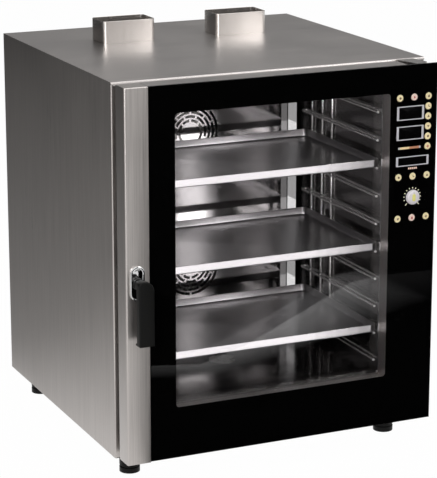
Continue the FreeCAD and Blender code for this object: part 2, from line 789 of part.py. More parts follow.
def fan_motors():
    motors = []
    for fan, fan_z in FANS.items():
        can = rod(f"motor_can_{fan}", "motor_radius", "motor_length", ("0", MOTOR_FRONT, fan_z), TO_REAR)
        flange = box(f"motor_flange_{fan}", around("0", "motor_flange_half"), (MOTOR_FLANGE, MOTOR_FRONT),
                     around(fan_z, "motor_flange_half"))
        studs = [
            rod(f"motor_stud_{fan}_{across}_{up}", "motor_stud_radius", "motor_standoff + motor_flange_gauge",
                (f"{across} * motor_stud_offset", MOTOR_FRONT, f"{fan_z} + {up} * motor_stud_offset"),
                TO_FRONT)
            for across in (-1, 1) for up in (-1, 1)
        ]
        bore = rod(f"motor_bore_{fan}", "shaft_radius + shaft_fit",
                   f"motor_flange_gauge + shaft_engagement + {OVERCUT} + pin_end_gap",
                   ("0", f"{MOTOR_FLANGE} - {OVERCUT}", fan_z), TO_REAR)
        motors.append(cut(f"fan_motor_{fan}", fuse(f"motor_blank_{fan}", can, flange, *studs), bore))
    keep(group("fan_motors", motors))


def heating_elements():
    elements = []
    for fan, fan_z in FANS.items():
        ends = list(heater_legs(fan))
        for turn in range(HEATER_TURNS):
            plane = f"({CAVITY_REAR} - heater_back_gap)"
            ring = doc.addObject("Part::Torus", f"heater_ring_{fan}_{turn}")
            bind(ring, "Radius1", f"heater_first_radius + {turn} * heater_pitch")
            bind(ring, "Radius2", "heater_tube_radius")
            bind(ring, "Angle3", "360 - heater_gap_angle")
            place(ring, "0", plane, fan_z, TO_FRONT)
            pieces = [ring]
            for leg, x, z in ends[2 * turn:2 * turn + 2]:
                pieces.append(rod(f"heater_leg_{leg}", "heater_pin_radius",
                                  "heater_back_gap + panel_gauge + heater_leg_reach", (x, plane, z), TO_REAR))
                elbow = doc.addObject("Part::Sphere", f"heater_elbow_{leg}")
                bind(elbow, "Radius", "heater_elbow_radius")
                place(elbow, x, plane, z)
                pieces.append(elbow)
            elements.append(fuse(f"heater_{fan}_{turn}", *pieces))
    keep(group("heating_elements", elements))


def rail_height(level):
    return f"({UNDER} + rail_first_rise + {level} * rail_pitch)"


def tray_racks():
    posts = ("post_front_setback", "post_middle_setback", "post_inner_setback", "post_rear_setback")
    for side_name, side in (("left", -1), ("right", 1)):
        wires = []
        for level in range(RAIL_LEVELS):
            z = rail_height(level)
            straight = f"{RAIL_BOW} - {RAIL_FRONT}"
            outer_x = f"{side} * {OUTER_WIRE}"
            inner_x = f"{side} * ({OUTER_WIRE} - rail_width)"
            outer = rod(f"rail_outer_{side_name}_{level}", "rail_wire_radius", straight,
                        (outer_x, RAIL_FRONT, z), TO_REAR)
            inner = rod(f"rail_inner_{side_name}_{level}", "rail_wire_radius", straight,
                        (inner_x, RAIL_FRONT, z), TO_REAR)
            bow = doc.addObject("Part::Torus", f"rail_bow_{side_name}_{level}")
            bind(bow, "Radius1", "rail_width / 2")
            bind(bow, "Radius2", "rail_wire_radius")
            bow.Angle3 = 180
            place(bow, f"{side} * ({OUTER_WIRE} - rail_width / 2)", RAIL_BOW, z)
            wires.append(fuse(f"rail_{side_name}_{level}", outer, inner, bow))
        for post in posts:
            wires.append(rod(f"{post}_{side_name}", "post_radius", "cavity_height - 2 * post_end_gap",
                             (f"{side} * ({CAVITY_RIGHT} - wall_seat_gap - post_radius)", f"{FRONT} + {post}",
                              f"{CAVITY_FLOOR} + post_end_gap")))
        keep(group(f"rack_{side_name}", wires))


def trays():
    for name, level in TRAY_LEVELS.items():
        rest = f"({rail_height(level)} + rail_wire_radius + wire_gap)"
        front = f"({FRONT} + tray_setback)"
        outer = rounded_bar(f"{name}_outer", around("0", "tray_width / 2"), (front, f"{front} + tray_depth"),
                            (rest, f"{rest} + tray_height"), "tray_corner")
        inner = rounded_bar(f"{name}_inner", around("0", "tray_width / 2 - tray_gauge"),
                            (f"{front} + tray_gauge", f"{front} + tray_depth - tray_gauge"),
                            (f"{rest} + tray_gauge", f"{rest} + tray_height + {OVERCUT}"),
                            "tray_corner - tray_gauge")
        keep(cut(name, outer, inner))


def door_gasket():
    depth = (f"{DOOR_BACK} + gasket_clearance", FRONT)
    inside = "gasket_offset"
    outside = "gasket_offset + gasket_width"
    solid = box("door_gasket_outer", (f"{OPENING_LEFT} - ({outside})", f"{OPENING_RIGHT} + {outside}"), depth,
                (f"{OPENING_BOTTOM} - ({outside})", f"{OPENING_TOP} + {outside}"))
    hole = box("door_gasket_hole", (f"{OPENING_LEFT} - {inside}", f"{OPENING_RIGHT} + {inside}"),
               (f"{depth[0]} - {OVERCUT}", f"{depth[1]} + {OVERCUT}"),
               (f"{OPENING_BOTTOM} - {inside}", f"{OPENING_TOP} + {inside}"))
    keep(cut("door_gasket", solid, hole))


def hinge_plate(name, plate_z, flange_z, pin_z, collar_z):
    """A tapered plate with a rounded nose, its screw flange on the cabinet and the door's pin with a collar."""
    corners = [
        ("-plate_half", "0"),
        ("plate_half", "0"),
        ("plate_half - plate_taper", PLATE_REACH),
        ("-plate_spread", PLATE_REACH),
    ]
    pieces = [
        prism(f"{name}_leaf", corners, "plate_gauge", (PIVOT_X, PIVOT_Y, plate_z)),
        rod(f"{name}_nose", "plate_half", "plate_gauge", (PIVOT_X, PIVOT_Y, plate_z)),
        box(f"{name}_flange", (f"{PIVOT_X} - plate_spread", f"{PIVOT_X} + plate_half - plate_taper"),
            (f"{FRONT} - hinge_flange_gauge", FRONT), flange_z),
        rod(f"{name}_pin", "pin_radius", span(pin_z), (PIVOT_X, PIVOT_Y, pin_z[0])),
        rod(f"{name}_collar", "pin_collar_radius", span(collar_z), (PIVOT_X, PIVOT_Y, collar_z[0])),
    ]
    keep(fuse(name, *pieces))


def hinge_plates():
    top_plate = f"({TOP} - plate_drop - plate_gauge)"
    hinge_plate("hinge_plate_top", top_plate,
                (f"{TOP} - plate_drop - hinge_flange_height", f"{TOP} - plate_drop"),
                (f"{NOTCH_FLOOR} - pin_length", f"{top_plate} + plate_gauge"),
                (f"{NOTCH_FLOOR} + pin_collar_gap", f"{top_plate} + plate_gauge"))
    low_plate = f"({DOOR_BOTTOM} + plate_drop)"
    hinge_plate("hinge_plate_bottom", low_plate,
                (low_plate, f"{low_plate} + hinge_flange_height"),
                (low_plate, f"{NOTCH_ROOF} + pin_length"),
                (low_plate, f"{NOTCH_ROOF} - pin_collar_gap"))


def hinge_blocks():
    """The two blocks in the door that turn on the hinge pins."""
    across = (NOTCH_LEFT, f"{DOOR_RIGHT} - panel_gauge")
    depth = (BORDER_BACK, f"{DOOR_BACK} - panel_gauge")
    bore = "pin_radius + pin_fit"
    top_block = box("hinge_block_top", across, depth, (f"{NOTCH_FLOOR} - hinge_block_height", NOTCH_FLOOR))
    top_bore = rod("hinge_bore_top", bore, f"pin_length + pin_end_gap + {OVERCUT}",
                   (PIVOT_X, PIVOT_Y, f"{NOTCH_FLOOR} - pin_length - pin_end_gap"))
    low_block = box("hinge_block_bottom", across, depth, (NOTCH_ROOF, f"{NOTCH_ROOF} + hinge_block_height"))
    low_bore = rod("hinge_bore_bottom", bore, f"pin_length + pin_end_gap + {OVERCUT}",
                   (PIVOT_X, PIVOT_Y, f"{NOTCH_ROOF} - {OVERCUT}"))
    keep(group("hinge_blocks", [cut("hinge_block_upper", top_block, top_bore),
                                cut("hinge_block_lower", low_block, low_bore)]))


def key_centres():
    """Each push button's name and place: the column at the right, then the rows above and below the knob."""
    right = f"({DOOR_RIGHT} - key_right_inset)"
    for row in range(SIDE_KEYS):
        yield f"button_side_{row + 1}", right, f"({KEY_TOP} - {row} * key_pitch)"
    for column in range(1, KEY_COLUMNS):
        yield f"button_top_{column}", f"({right} - {column} * key_column_pitch)", KEY_TOP
    for row_name, z in (("upper", f"({KNOB_Z} + knob_row_gap)"), ("lower", f"({KNOB_Z} - knob_row_gap)")):
        for column in range(KEY_COLUMNS):
            yield f"button_{row_name}_{column + 1}", f"({right} - {column} * key_column_pitch)", z


def door_glazing():
    start = f"{BORDER_BACK} + {OVERCUT}"
    length = f"outer_glass_gauge + border_gauge + 2 * {OVERCUT}"
    holes = [rod(f"glass_hole_{name}", "key_radius + key_clearance", length, (x, start, z), TO_FRONT)
             for name, x, z in key_centres()]
    holes.append(rod("glass_hole_knob", "knob_shaft_radius + key_clearance", length,
                     (KNOB_X, start, KNOB_Z), TO_FRONT))
    drillings = group("glass_drillings", holes)

    across = (f"{STRIP_RIGHT} + glass_joint", DOOR_RIGHT)
    upright = (f"{DOOR_BOTTOM} + glass_bottom_gap", f"{TOP} - glass_joint")
    pane = box("outer_glass_pane", across, (DOOR_FRONT, GLASS_BACK), upright)
    keep(cut("outer_glass", pane, drillings))

    film = box("glass_border_film", across, (GLASS_BACK, BORDER_BACK), upright)
    window = rounded_bar("glass_border_window", (WINDOW_LEFT, WINDOW_RIGHT),
                         (f"{GLASS_BACK} - {OVERCUT}", f"{BORDER_BACK} + {OVERCUT}"),
                         (WINDOW_BOTTOM, WINDOW_TOP), "window_corner", along="Y")
    keep(cut("glass_border", cut("glass_border_drilled", film, drillings), window))

    keep(box("inner_glass", (f"{STRIP_RIGHT} + glass_joint", f"{HOUSING_LEFT} - glass_joint"),
             (INNER_GLASS, DOOR_BACK), (f"{DOOR_BOTTOM} + door_lip", f"{TOP} - door_lip")))


def door_rail(name, z, hollow_z, rebate_z):
    """A folded rail between strip and control housing, open to the front, with a lip over the inner glass."""
    across = (STRIP_RIGHT, HOUSING_LEFT)
    beyond = (f"{STRIP_RIGHT} - {OVERCUT}", f"{HOUSING_LEFT} + {OVERCUT}")
    blank = box(f"{name}_blank", across, (BORDER_BACK, DOOR_BACK), z)
    hollow = box(f"{name}_hollow", beyond,
                 (f"{BORDER_BACK} - {OVERCUT}", f"{INNER_GLASS} - panel_gauge"), hollow_z)
    rebate = box(f"{name}_rebate", beyond, (INNER_GLASS, f"{DOOR_BACK} + {OVERCUT}"), rebate_z)
    keep(cut(name, blank, hollow, rebate))


def door_frame():
    blank = box("door_strip_blank", (LEFT, STRIP_RIGHT), (DOOR_FRONT, DOOR_BACK), (DOOR_BOTTOM, TOP))
    hollow = box("door_strip_hollow", (f"{LEFT} + panel_gauge", f"{STRIP_RIGHT} - panel_gauge"),
                 (f"{DOOR_FRONT} + panel_gauge", f"{DOOR_BACK} - panel_gauge"),
                 (f"{DOOR_BOTTOM} - {OVERCUT}", f"{TOP} - panel_gauge"))
    hole = rod("door_strip_hole", "spindle_radius + key_clearance", f"door_thickness + 2 * {OVERCUT}",
               (HANDLE_X, f"{DOOR_BACK} + {OVERCUT}", HANDLE_Z), TO_FRONT)
    keep(cut("door_left_strip", cut("door_strip_tube", blank, hollow), hole))

    top_edge = f"({WINDOW_TOP} + door_rail_margin)"
    door_rail("door_top_rail", (top_edge, TOP),
              (f"{top_edge} + panel_gauge", f"{TOP} - panel_gauge"),
              (f"{top_edge} - {OVERCUT}", f"{TOP} - door_lip"))
    low_edge = f"({WINDOW_BOTTOM} - door_rail_margin)"
    door_rail("door_bottom_rail", (DOOR_BOTTOM, low_edge),
              (f"{DOOR_BOTTOM} + panel_gauge", f"{low_edge} - panel_gauge"),
              (f"{DOOR_BOTTOM} + door_lip", f"{low_edge} + {OVERCUT}"))

    tub = box("control_housing_blank", (HOUSING_LEFT, DOOR_RIGHT), (BORDER_BACK, DOOR_BACK),
              (DOOR_BOTTOM, TOP))
    inside = box("control_housing_inside", (f"{HOUSING_LEFT} + panel_gauge", f"{DOOR_RIGHT} - panel_gauge"),
                 (f"{BORDER_BACK} - {OVERCUT}", f"{DOOR_BACK} - panel_gauge"),
                 (f"{DOOR_BOTTOM} + panel_gauge", f"{TOP} - panel_gauge"))
    notches = [
        box(f"control_housing_notch_{end}", (NOTCH_LEFT, f"{DOOR_RIGHT} + {OVERCUT}"),
            (f"{BORDER_BACK} - {OVERCUT}", f"{DOOR_BACK} + {OVERCUT}"), z)
        for end, z in (("top", (NOTCH_FLOOR, f"{TOP} + {OVERCUT}")),
                       ("bottom", (f"{DOOR_BOTTOM} - {OVERCUT}", NOTCH_ROOF)))
    ]
    keep(cut("control_housing", cut("control_housing_tub", tub, inside), *notches))


def lever_grip():
    """The lever's upright bar: a wide round shoulder at its upper right and smaller rounds elsewhere."""
    body = doc.addObject("PartDesign::Body", "lever_grip")
    height = "lever_below + lever_above"
    corners = [("0", "0"), ("lever_width", "0"), ("lever_width", height), ("0", height)]
    base = padded(body, "lever_grip", corners, "lever_thickness")
    rounds = (("shoulder", "lever_shoulder", [corners[2]]),
              ("corner", "lever_corner", [corners[0], corners[1], corners[3]]))
    for name, radius, chosen in rounds:
        doc.recompute()
        ends = [[body.evalExpression(bound(text)) for text in corner] for corner in chosen]
        fillet = body.newObject("PartDesign::Fillet", f"lever_grip_{name}")
        fillet.Base = (base, long_edges(base.Shape, ends))
        bind(fillet, "Radius", radius)
        base = fillet
    place(body, f"{LEVER_X} - lever_width / 2", LEVER_BACK, f"{HANDLE_Z} - lever_below", TO_FRONT)
    return body


def handle():
    half_width = "rosette_width / 2"
    straight = "(rosette_height - rosette_width) / 2"
    ends = [rod(f"rosette_end_{side}", half_width, "rosette_gauge",
                (HANDLE_X, DOOR_FRONT, f"{HANDLE_Z} + {side} * {straight}"), TO_FRONT) for side in (-1, 1)]
    middle = box("rosette_middle", around(HANDLE_X, half_width), (ROSETTE_FRONT, DOOR_FRONT),
                 around(HANDLE_Z, straight))
    bore = rod("rosette_bore", "spindle_radius + spindle_fit", f"rosette_gauge + 2 * {OVERCUT}",
               (HANDLE_X, f"{DOOR_FRONT} + {OVERCUT}", HANDLE_Z), TO_FRONT)
    keep(cut("handle_rosette", fuse("rosette_blank", middle, *ends), bore))

    grip = lever_grip()
    lip_bottom = f"{HANDLE_Z} - lever_below"
    lip = box("lever_lip", around(LEVER_X, "lever_width / 2 - lever_corner"),
              (f"{LEVER_BACK} - lever_thickness / 2", f"{LEVER_BACK} + lever_lip_reach"),
              (lip_bottom, f"{lip_bottom} + lever_lip_height"))
    boss_start = (HANDLE_X, f"{ROSETTE_FRONT} - lever_gap", HANDLE_Z)
    boss_length = "lever_standoff - rosette_gauge - lever_gap"
    boss = rod("lever_boss", "lever_boss_radius", f"{boss_length} + lever_thickness / 2", boss_start,
               TO_FRONT)
    socket = rod("lever_socket", "spindle_radius", f"{boss_length} + spindle_seat", boss_start, TO_FRONT)
    keep(cut("handle_lever", fuse("lever_blank", grip, lip, boss), socket))

    tip = f"{DOOR_BACK} + nose_reach"
    shoulder = "nose_reach - nose_gap"
    end = "nose_reach + door_thickness + lever_standoff + spindle_seat"
    profile = [
        ("0", "0"),
        ("nose_radius", "0"),
        ("nose_radius", shoulder),
        ("spindle_radius", shoulder),
        ("spindle_radius", end),
        ("0", end),
    ]
    keep(turned("handle_spindle", profile, (HANDLE_X, tip, HANDLE_Z), TO_FRONT))


def latch_keeper():
    block = box("latch_keeper_block", around(HANDLE_X, "keeper_width / 2"),
                (f"{FRONT} - keeper_depth", FRONT), around(HANDLE_Z, "keeper_height / 2"))
    pocket = rod("latch_keeper_pocket", "nose_radius + keeper_clearance", f"keeper_depth + 2 * {OVERCUT}",
                 (HANDLE_X, f"{FRONT} + {OVERCUT}", HANDLE_Z), TO_FRONT)
    keep(cut("latch_keeper", block, pocket))


def push_buttons():
    """Round keys in the glass, each with a flange behind the glass and a stem that meets its switch."""
    stem_top = "key_stem_length"
    flange_top = "key_stem_length + key_flange_gauge"
    crown = f"{flange_top} + key_clearance + border_gauge + outer_glass_gauge + key_proud"
    profile = [
        ("0", "0"),
        ("key_stem_radius", "0"),
        ("key_stem_radius", stem_top),
        ("key_flange_radius", stem_top),
        ("key_flange_radius", flange_top),
        ("key_radius", flange_top),
        ("key_radius", f"{crown} - key_proud / 2"),
        ("key_radius - key_proud / 2", crown),
        ("0", crown),
    ]
    for name, x, z in key_centres():
        keep(turned(name, profile, (x, KEY_END, z), TO_FRONT))


def control_knob():
    glass = "knob_shaft_length"
    back = "knob_shaft_length + knob_gap"
    crown = "knob_shaft_length + knob_gap + knob_height"
    profile = [
        ("0", "0"),
        ("knob_shaft_radius", "0"),
        ("knob_shaft_radius", back),
        ("knob_radius", back),
        ("knob_radius - knob_crown_inset", crown),
        ("0", crown),
    ]
    keep(turned("control_knob", profile, (KNOB_X, f"{DOOR_FRONT} + {glass}", KNOB_Z), TO_FRONT))


def control_board():
    """The circuit board behind the glass with its switches, encoder and displays, on posts in the housing."""
    across = (f"{HOUSING_LEFT} + panel_gauge + board_margin", f"{DOOR_RIGHT} - panel_gauge - board_margin")
    upright = (f"{KNOB_Z} - knob_row_gap - board_overlap", f"{KEY_TOP} + board_overlap")
    pieces = [box("board_laminate", across, (BOARD_FRONT, BOARD_BACK), upright)]
    for name, x, z in key_centres():
        pieces.append(rod(f"switch_{name}", "switch_radius", "switch_radius", (x, BOARD_FRONT, z), TO_FRONT))
    encoder = box("encoder_case", around(KNOB_X, "encoder_half"),
                  (f"{BOARD_FRONT} - encoder_height", BOARD_FRONT), around(KNOB_Z, "encoder_half"))
    encoder_bore = rod("encoder_bore", "knob_shaft_radius + shaft_fit", f"encoder_height + {OVERCUT}",
                       (KNOB_X, BOARD_FRONT, KNOB_Z), TO_FRONT)
    pieces.append(cut("encoder", encoder, encoder_bore))
    displays = {
        "upper": ("display_width", "display_height", "display_upper_drop"),
        "lower": ("display_width", "display_height", "display_lower_drop"),
        "wide": ("display_wide_width", "display_wide_height", "display_wide_drop"),
    }
    display_left = f"({DOOR_RIGHT} - display_right_inset)"
    for name, (width, height, drop) in displays.items():
        pieces.append(box(f"display_{name}", (display_left, f"{display_left} + {width}"),
                          (BORDER_BACK, BOARD_FRONT), around(f"{TOP} - {drop}", f"{height} / 2")))
    for x in (f"{across[0]} + board_post_inset", f"{across[1]} - board_post_inset"):
        for z in (f"{upright[0]} + board_post_inset", f"{upright[1]} - board_post_inset"):
            pieces.append(rod(f"board_post_{len(pieces)}", "board_post_radius",
                              f"{DOOR_BACK} - panel_gauge - ({BOARD_BACK})", (x, BOARD_BACK, z), TO_REAR))
    keep(group("control_board", pieces))


def drain_run(name, radius, start, end):
    """A pipe that drops from the cavity floor and bends to the rear."""
    bend_z = f"({DRAIN_Z} + drain_bend)"
    bend_y = f"({DRAIN_Y} + drain_bend)"
    drop = rod(f"{name}_drop", radius, f"{start} - {bend_z}", ("0", DRAIN_Y, bend_z))
    elbow = doc.addObject("Part::Torus", f"{name}_elbow")
    bind(elbow, "Radius1", "drain_bend")
    bind(elbow, "Radius2", radius)
    elbow.Angle3 = 90
    place(elbow, "0", bend_y, bend_z, BEND_TO_REAR)
    run = rod(f"{name}_run", radius, f"{end} - {bend_y}", ("0", bend_y, DRAIN_Z), TO_REAR)
    return fuse(name, drop, elbow, run)


def rear_services():
    underside = f"({CAVITY_FLOOR} - panel_gauge)"
    outer = drain_run("drain_pipe_outer", DRAIN_PIPE, underside, REAR)
    spigot = rod("drain_spigot", "drain_radius", "drain_reach", ("0", REAR, DRAIN_Z), TO_REAR)
    inner = drain_run("drain_pipe_bore", DRAIN_BORE, f"{underside} + {OVERCUT}",
                      f"{REAR} + drain_reach + {OVERCUT}")
    keep(cut("drain_pipe", fuse("drain_pipe_solid", outer, spigot), inner))

    disc = rod("strainer_disc", "strainer_radius", "strainer_gauge", ("0", DRAIN_Y, CAVITY_FLOOR))
    holes = []
    for index in range(STRAINER_HOLES):
        angle = 360 * index / STRAINER_HOLES
        holes.append(rod(f"strainer_hole_{index}", "strainer_hole_radius", f"strainer_gauge + 2 * {OVERCUT}",
                         (f"strainer_hole_circle * cos({angle})",
                          f"{DRAIN_Y} + strainer_hole_circle * sin({angle})", f"{CAVITY_FLOOR} - {OVERCUT}")))
    keep(cut("drain_strainer", disc, *holes))

    inside = "-inlet_body_length - panel_gauge"
    keep(turned("water_inlet", [
        ("inlet_bore_radius", inside),
        ("inlet_body_radius", inside),
        ("inlet_body_radius", "-panel_gauge"),
        ("inlet_radius", "-panel_gauge"),
        ("inlet_radius", "0"),
        ("inlet_nut_radius", "0"),
        ("inlet_nut_radius", "inlet_nut_length"),
        ("inlet_radius", "inlet_nut_length"),
        ("inlet_radius", "inlet_reach"),
        ("inlet_bore_radius", "inlet_reach"),
    ], ("-service_offset", REAR, SERVICE_Z), TO_REAR))

    lock_nut = "-gland_nut_length - panel_gauge"
    keep(turned("cable_gland", [
        ("gland_bore_radius", lock_nut),
        ("gland_nut_radius", lock_nut),
        ("gland_nut_radius", "-panel_gauge"),
        ("gland_radius", "-panel_gauge"),
        ("gland_radius", "0"),
        ("gland_nut_radius", "0"),
        ("gland_nut_radius", "gland_nut_length"),
        ("gland_dome_radius", "gland_nut_length"),
        ("gland_dome_radius", "gland_reach - gland_nut_length / 2"),
        ("gland_radius", "gland_reach"),
        ("gland_bore_radius", "gland_reach"),
    ], ("service_offset", REAR, SERVICE_Z), TO_REAR))


def check_document():
    """Stop if any feature failed or any sub-part has no valid solid."""
    for item in doc.Objects:
        if "Invalid" in item.State or "Error" in item.State:
            raise RuntimeError(f"{item.Label} failed: {item.State}")
    for item in subparts:
        if item.Shape.isNull() or not item.Shape.isValid() or not item.Shape.Solids:
            raise RuntimeError(f"{item.Label} has no valid solid")


def write_parts():
    os.makedirs("parts", exist_ok=True)
    for item in subparts:
        item.Shape.exportStep(f"parts/{item.Label}.step")


fill_sheet()
cabinet_panels()
feet()
cavity_walls()
insulation()
chimneys()
fan_baffle()
fan_wheels()
fan_motors()
heating_elements()
tray_racks()
trays()
door_gasket()
hinge_plates()
hinge_blocks()
door_glazing()
door_frame()
handle()
latch_keeper()
push_buttons()
control_knob()
control_board()
rear_services()
doc.recompute()
check_document()
write_parts()
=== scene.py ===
import math

import bmesh
import bpy
from mathutils import Matrix, Vector


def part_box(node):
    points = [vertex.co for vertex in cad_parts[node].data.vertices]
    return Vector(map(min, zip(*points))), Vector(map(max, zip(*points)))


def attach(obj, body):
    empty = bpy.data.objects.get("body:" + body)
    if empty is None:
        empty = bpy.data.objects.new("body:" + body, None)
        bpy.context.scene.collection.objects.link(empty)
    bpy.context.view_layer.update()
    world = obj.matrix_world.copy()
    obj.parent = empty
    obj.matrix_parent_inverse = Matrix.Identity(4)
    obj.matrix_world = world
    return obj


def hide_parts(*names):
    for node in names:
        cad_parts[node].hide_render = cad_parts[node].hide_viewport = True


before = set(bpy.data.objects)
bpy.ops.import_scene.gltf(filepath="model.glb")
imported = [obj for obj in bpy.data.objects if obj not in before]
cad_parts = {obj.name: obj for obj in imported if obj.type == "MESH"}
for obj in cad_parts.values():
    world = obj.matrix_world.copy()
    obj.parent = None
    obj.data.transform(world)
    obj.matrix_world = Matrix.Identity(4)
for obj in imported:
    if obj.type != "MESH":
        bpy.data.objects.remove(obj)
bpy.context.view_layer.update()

MM = 0.001                      # shapes are drawn in millimetres, and the scene is in metres
SHARP_ANGLE = math.radians(35)  # edges that bend by more than this stay crisp
ROUND_STEPS = 6                 # faces in a quarter round
CIRCLE_POINTS = 40
FINE = 0.05                     # a radius too small to see, where a shape would else come to a point
MITRE_LIMIT = 0.3               # keeps a sheet's inner line close to it at a tight fold


def linear(text):
    """An sRGB hex colour as linear red, green and blue with full alpha."""
    parts = [int(text[i:i + 2], 16) / 255 for i in (0, 2, 4)]
    return tuple(c / 12.92 if c <= 0.04045 else ((c + 0.055) / 1.055) ** 2.4 for c in parts) + (1.0,)


def add(tree, kind, inputs=None, **settings):
    """One node with its settings. An input given as a socket is linked, any other value is set."""
    made = tree.nodes.new(kind)
    for key, value in settings.items():
        setattr(made, key, value)
    for key, value in (inputs or {}).items():
        if isinstance(value, bpy.types.NodeSocket):
            tree.links.new(value, made.inputs[key])
        else:
            made.inputs[key].default_value = value
    return made


def linked(name, data):
    """A new object in the scene."""
    made = bpy.data.objects.new(name, data)
    bpy.context.scene.collection.objects.link(made)
    return made


# Materials

CLOUD_MM = 260
WIPE_MM = 180
GRAIN_SPREAD = 0.06


def new_material(name):
    """A named material whose node tree is empty."""
    made = bpy.data.materials.new(name)
    made.use_nodes = True
    made.node_tree.nodes.clear()
    return made, made.node_tree


def mottled(name, spot_mm, detail, dark, light):
    """The start of a plain material: soft spots, and a tone that goes from dark to light with them."""
    made, tree = new_material(name)
    place = add(tree, "ShaderNodeTexCoord")
    spots = add(tree, "ShaderNodeTexNoise",
                {"Vector": place.outputs["Object"], "Scale": 1 / (spot_mm * MM), "Detail": detail})
    tone = add(tree, "ShaderNodeMixRGB",
               {"Fac": spots.outputs["Fac"], "Color1": linear(dark), "Color2": linear(light)})
    return made, tree, spots.outputs["Fac"], tone.outputs["Color"]


def brushed_stainless(name, grain, dark, light, roughness, spread, scratch_depth):
    """Belt-brushed stainless sheet: long fine scratches that stretch each highlight across them, and slow
    cloudy changes in shine. Scratch sizes along X, Y, Z in millimetres, coarser than real so that they show."""
    made, tree = new_material(name)
    place = add(tree, "ShaderNodeTexCoord")
    along = add(tree, "ShaderNodeMapping",
                {"Vector": place.outputs["Object"], "Scale": tuple(1 / (size * MM) for size in grain)})
    scratches = add(tree, "ShaderNodeTexNoise",
                    {"Vector": along.outputs["Vector"], "Scale": 1.0, "Detail": 3.0, "Roughness": 0.65})
    clouds = add(tree, "ShaderNodeTexNoise",
                 {"Vector": place.outputs["Object"], "Scale": 1 / (CLOUD_MM * MM), "Detail": 2.0})
    tone = add(tree, "ShaderNodeMixRGB",
               {"Fac": scratches.outputs["Fac"], "Color1": linear(dark), "Color2": linear(light)})
    shine = add(tree, "ShaderNodeMath",
                {0: scratches.outputs["Fac"], 1: clouds.outputs["Fac"]}, operation="ADD")
    rough = add(tree, "ShaderNodeMapRange",
                {"Value": shine.outputs["Value"], "From Min": 0.6, "From Max": 1.4,
                 "To Min": roughness - spread, "To Max": roughness + spread})
    relief = add(tree, "ShaderNodeBump",
                 {"Height": scratches.outputs["Fac"], "Strength": 0.25, "Distance": scratch_depth * MM})
    steel = add(tree, "ShaderNodeBsdfPrincipled",
                {"Base Color": tone.outputs["Color"], "Metallic": 1.0, "Roughness": rough.outputs["Result"],
                 "Normal": relief.outputs["Normal"]})
    add(tree, "ShaderNodeOutputMaterial", {"Surface": steel.outputs["BSDF"]})
    return made


def worn_metal(name, dark, light, roughness, spot_mm, metallic=1.0, wear=0.06):
    """Plain rolled, turned or cast metal, or metallic paint: an even tone with faint blotches where handling
    changed its shine."""
    made, tree, blotches, tone = mottled(name, spot_mm, 4.0, dark, light)
    rough = add(tree, "ShaderNodeMapRange",
                {"Value": blotches, "From Min": 0.3, "From Max": 0.7,
                 "To Min": roughness - wear, "To Max": roughness + wear})
    metal = add(tree, "ShaderNodeBsdfPrincipled",
                {"Base Color": tone, "Metallic": metallic, "Roughness": rough.outputs["Result"]})
    add(tree, "ShaderNodeOutputMaterial", {"Surface": metal.outputs["BSDF"]})
    return made


def moulded_plastic(name, dark, light, roughness, grain_mm, grain_depth, gloss=0.5):
    """Moulded plastic, rubber, enamel or pressed fibre: a near-even colour with a fine grain that breaks up the
    highlight, drawn coarser than real so that it shows."""
    made, tree, grain, tone = mottled(name, grain_mm, 2.0, dark, light)
    rough = add(tree, "ShaderNodeMapRange",
                {"Value": grain, "To Min": roughness - GRAIN_SPREAD, "To Max": roughness + GRAIN_SPREAD})
    relief = add(tree, "ShaderNodeBump", {"Height": grain, "Strength": 0.3, "Distance": grain_depth * MM})
    plastic = add(tree, "ShaderNodeBsdfPrincipled",
                  {"Base Color": tone, "Roughness": rough.outputs["Result"],
                   "Normal": relief.outputs["Normal"], "IOR": 1.5, "Specular IOR Level": gloss})
    add(tree, "ShaderNodeOutputMaterial", {"Surface": plastic.outputs["BSDF"]})
    return made


def door_glass(name, tint, smear, index):
    """Toughened float glass: clear, with a faint smear of wiping in its gloss. Lamps shine through it."""
    made, tree = new_material(name)
    place = add(tree, "ShaderNodeTexCoord")
    wiping = add(tree, "ShaderNodeTexNoise",
                 {"Vector": place.outputs["Object"], "Scale": 1 / (WIPE_MM * MM), "Detail": 2.0})
    rough = add(tree, "ShaderNodeMapRange",
                {"Value": wiping.outputs["Fac"], "To Min": 0.0, "To Max": smear})
    glass = add(tree, "ShaderNodeBsdfPrincipled",
                {"Base Color": linear(tint), "Transmission Weight": 1.0, "IOR": index,
                 "Roughness": rough.outputs["Result"]})
    clear = add(tree, "ShaderNodeBsdfTransparent", {"Color": linear(tint)})
    ray = add(tree, "ShaderNodeLightPath")
    lamps = add(tree, "ShaderNodeMath",
                {0: ray.outputs["Is Shadow Ray"], 1: ray.outputs["Is Diffuse Ray"]}, operation="MAXIMUM")
    pane = add(tree, "ShaderNodeMixShader",
               {"Fac": lamps.outputs["Value"], 1: glass.outputs["BSDF"], 2: clear.outputs["BSDF"]})
    add(tree, "ShaderNodeOutputMaterial", {"Surface": pane.outputs["Shader"]})
    return made


def lit_print(name, dark, light, strength, speckle_mm):
    """Lit or printed mark: even colour with the slight speckle of screen printing, drawn coarser than real."""
    made, tree, speckle, tone = mottled(name, speckle_mm, 1.0, dark, light)
    ink = add(tree, "ShaderNodeBsdfPrincipled",
              {"Base Color": tone, "Roughness": 0.45, "Emission Color": tone, "Emission Strength": strength})
    add(tree, "ShaderNodeOutputMaterial", {"Surface": ink.outputs["BSDF"]})
    return made


# belt-brushed sheet: soft streaks, upright on the cabinet and door and sideways on the top
upright_stainless = brushed_stainless(
    "stainless_brushed_upright", (2.4, 2.4, 220), "9A9592", "D0CAC6", 0.34, 0.08, 0.02)
top_stainless = brushed_stainless(
    "stainless_brushed_top", (220, 2.4, 2.4), "9F9A98", "CAC5C2", 0.34, 0.08, 0.02)
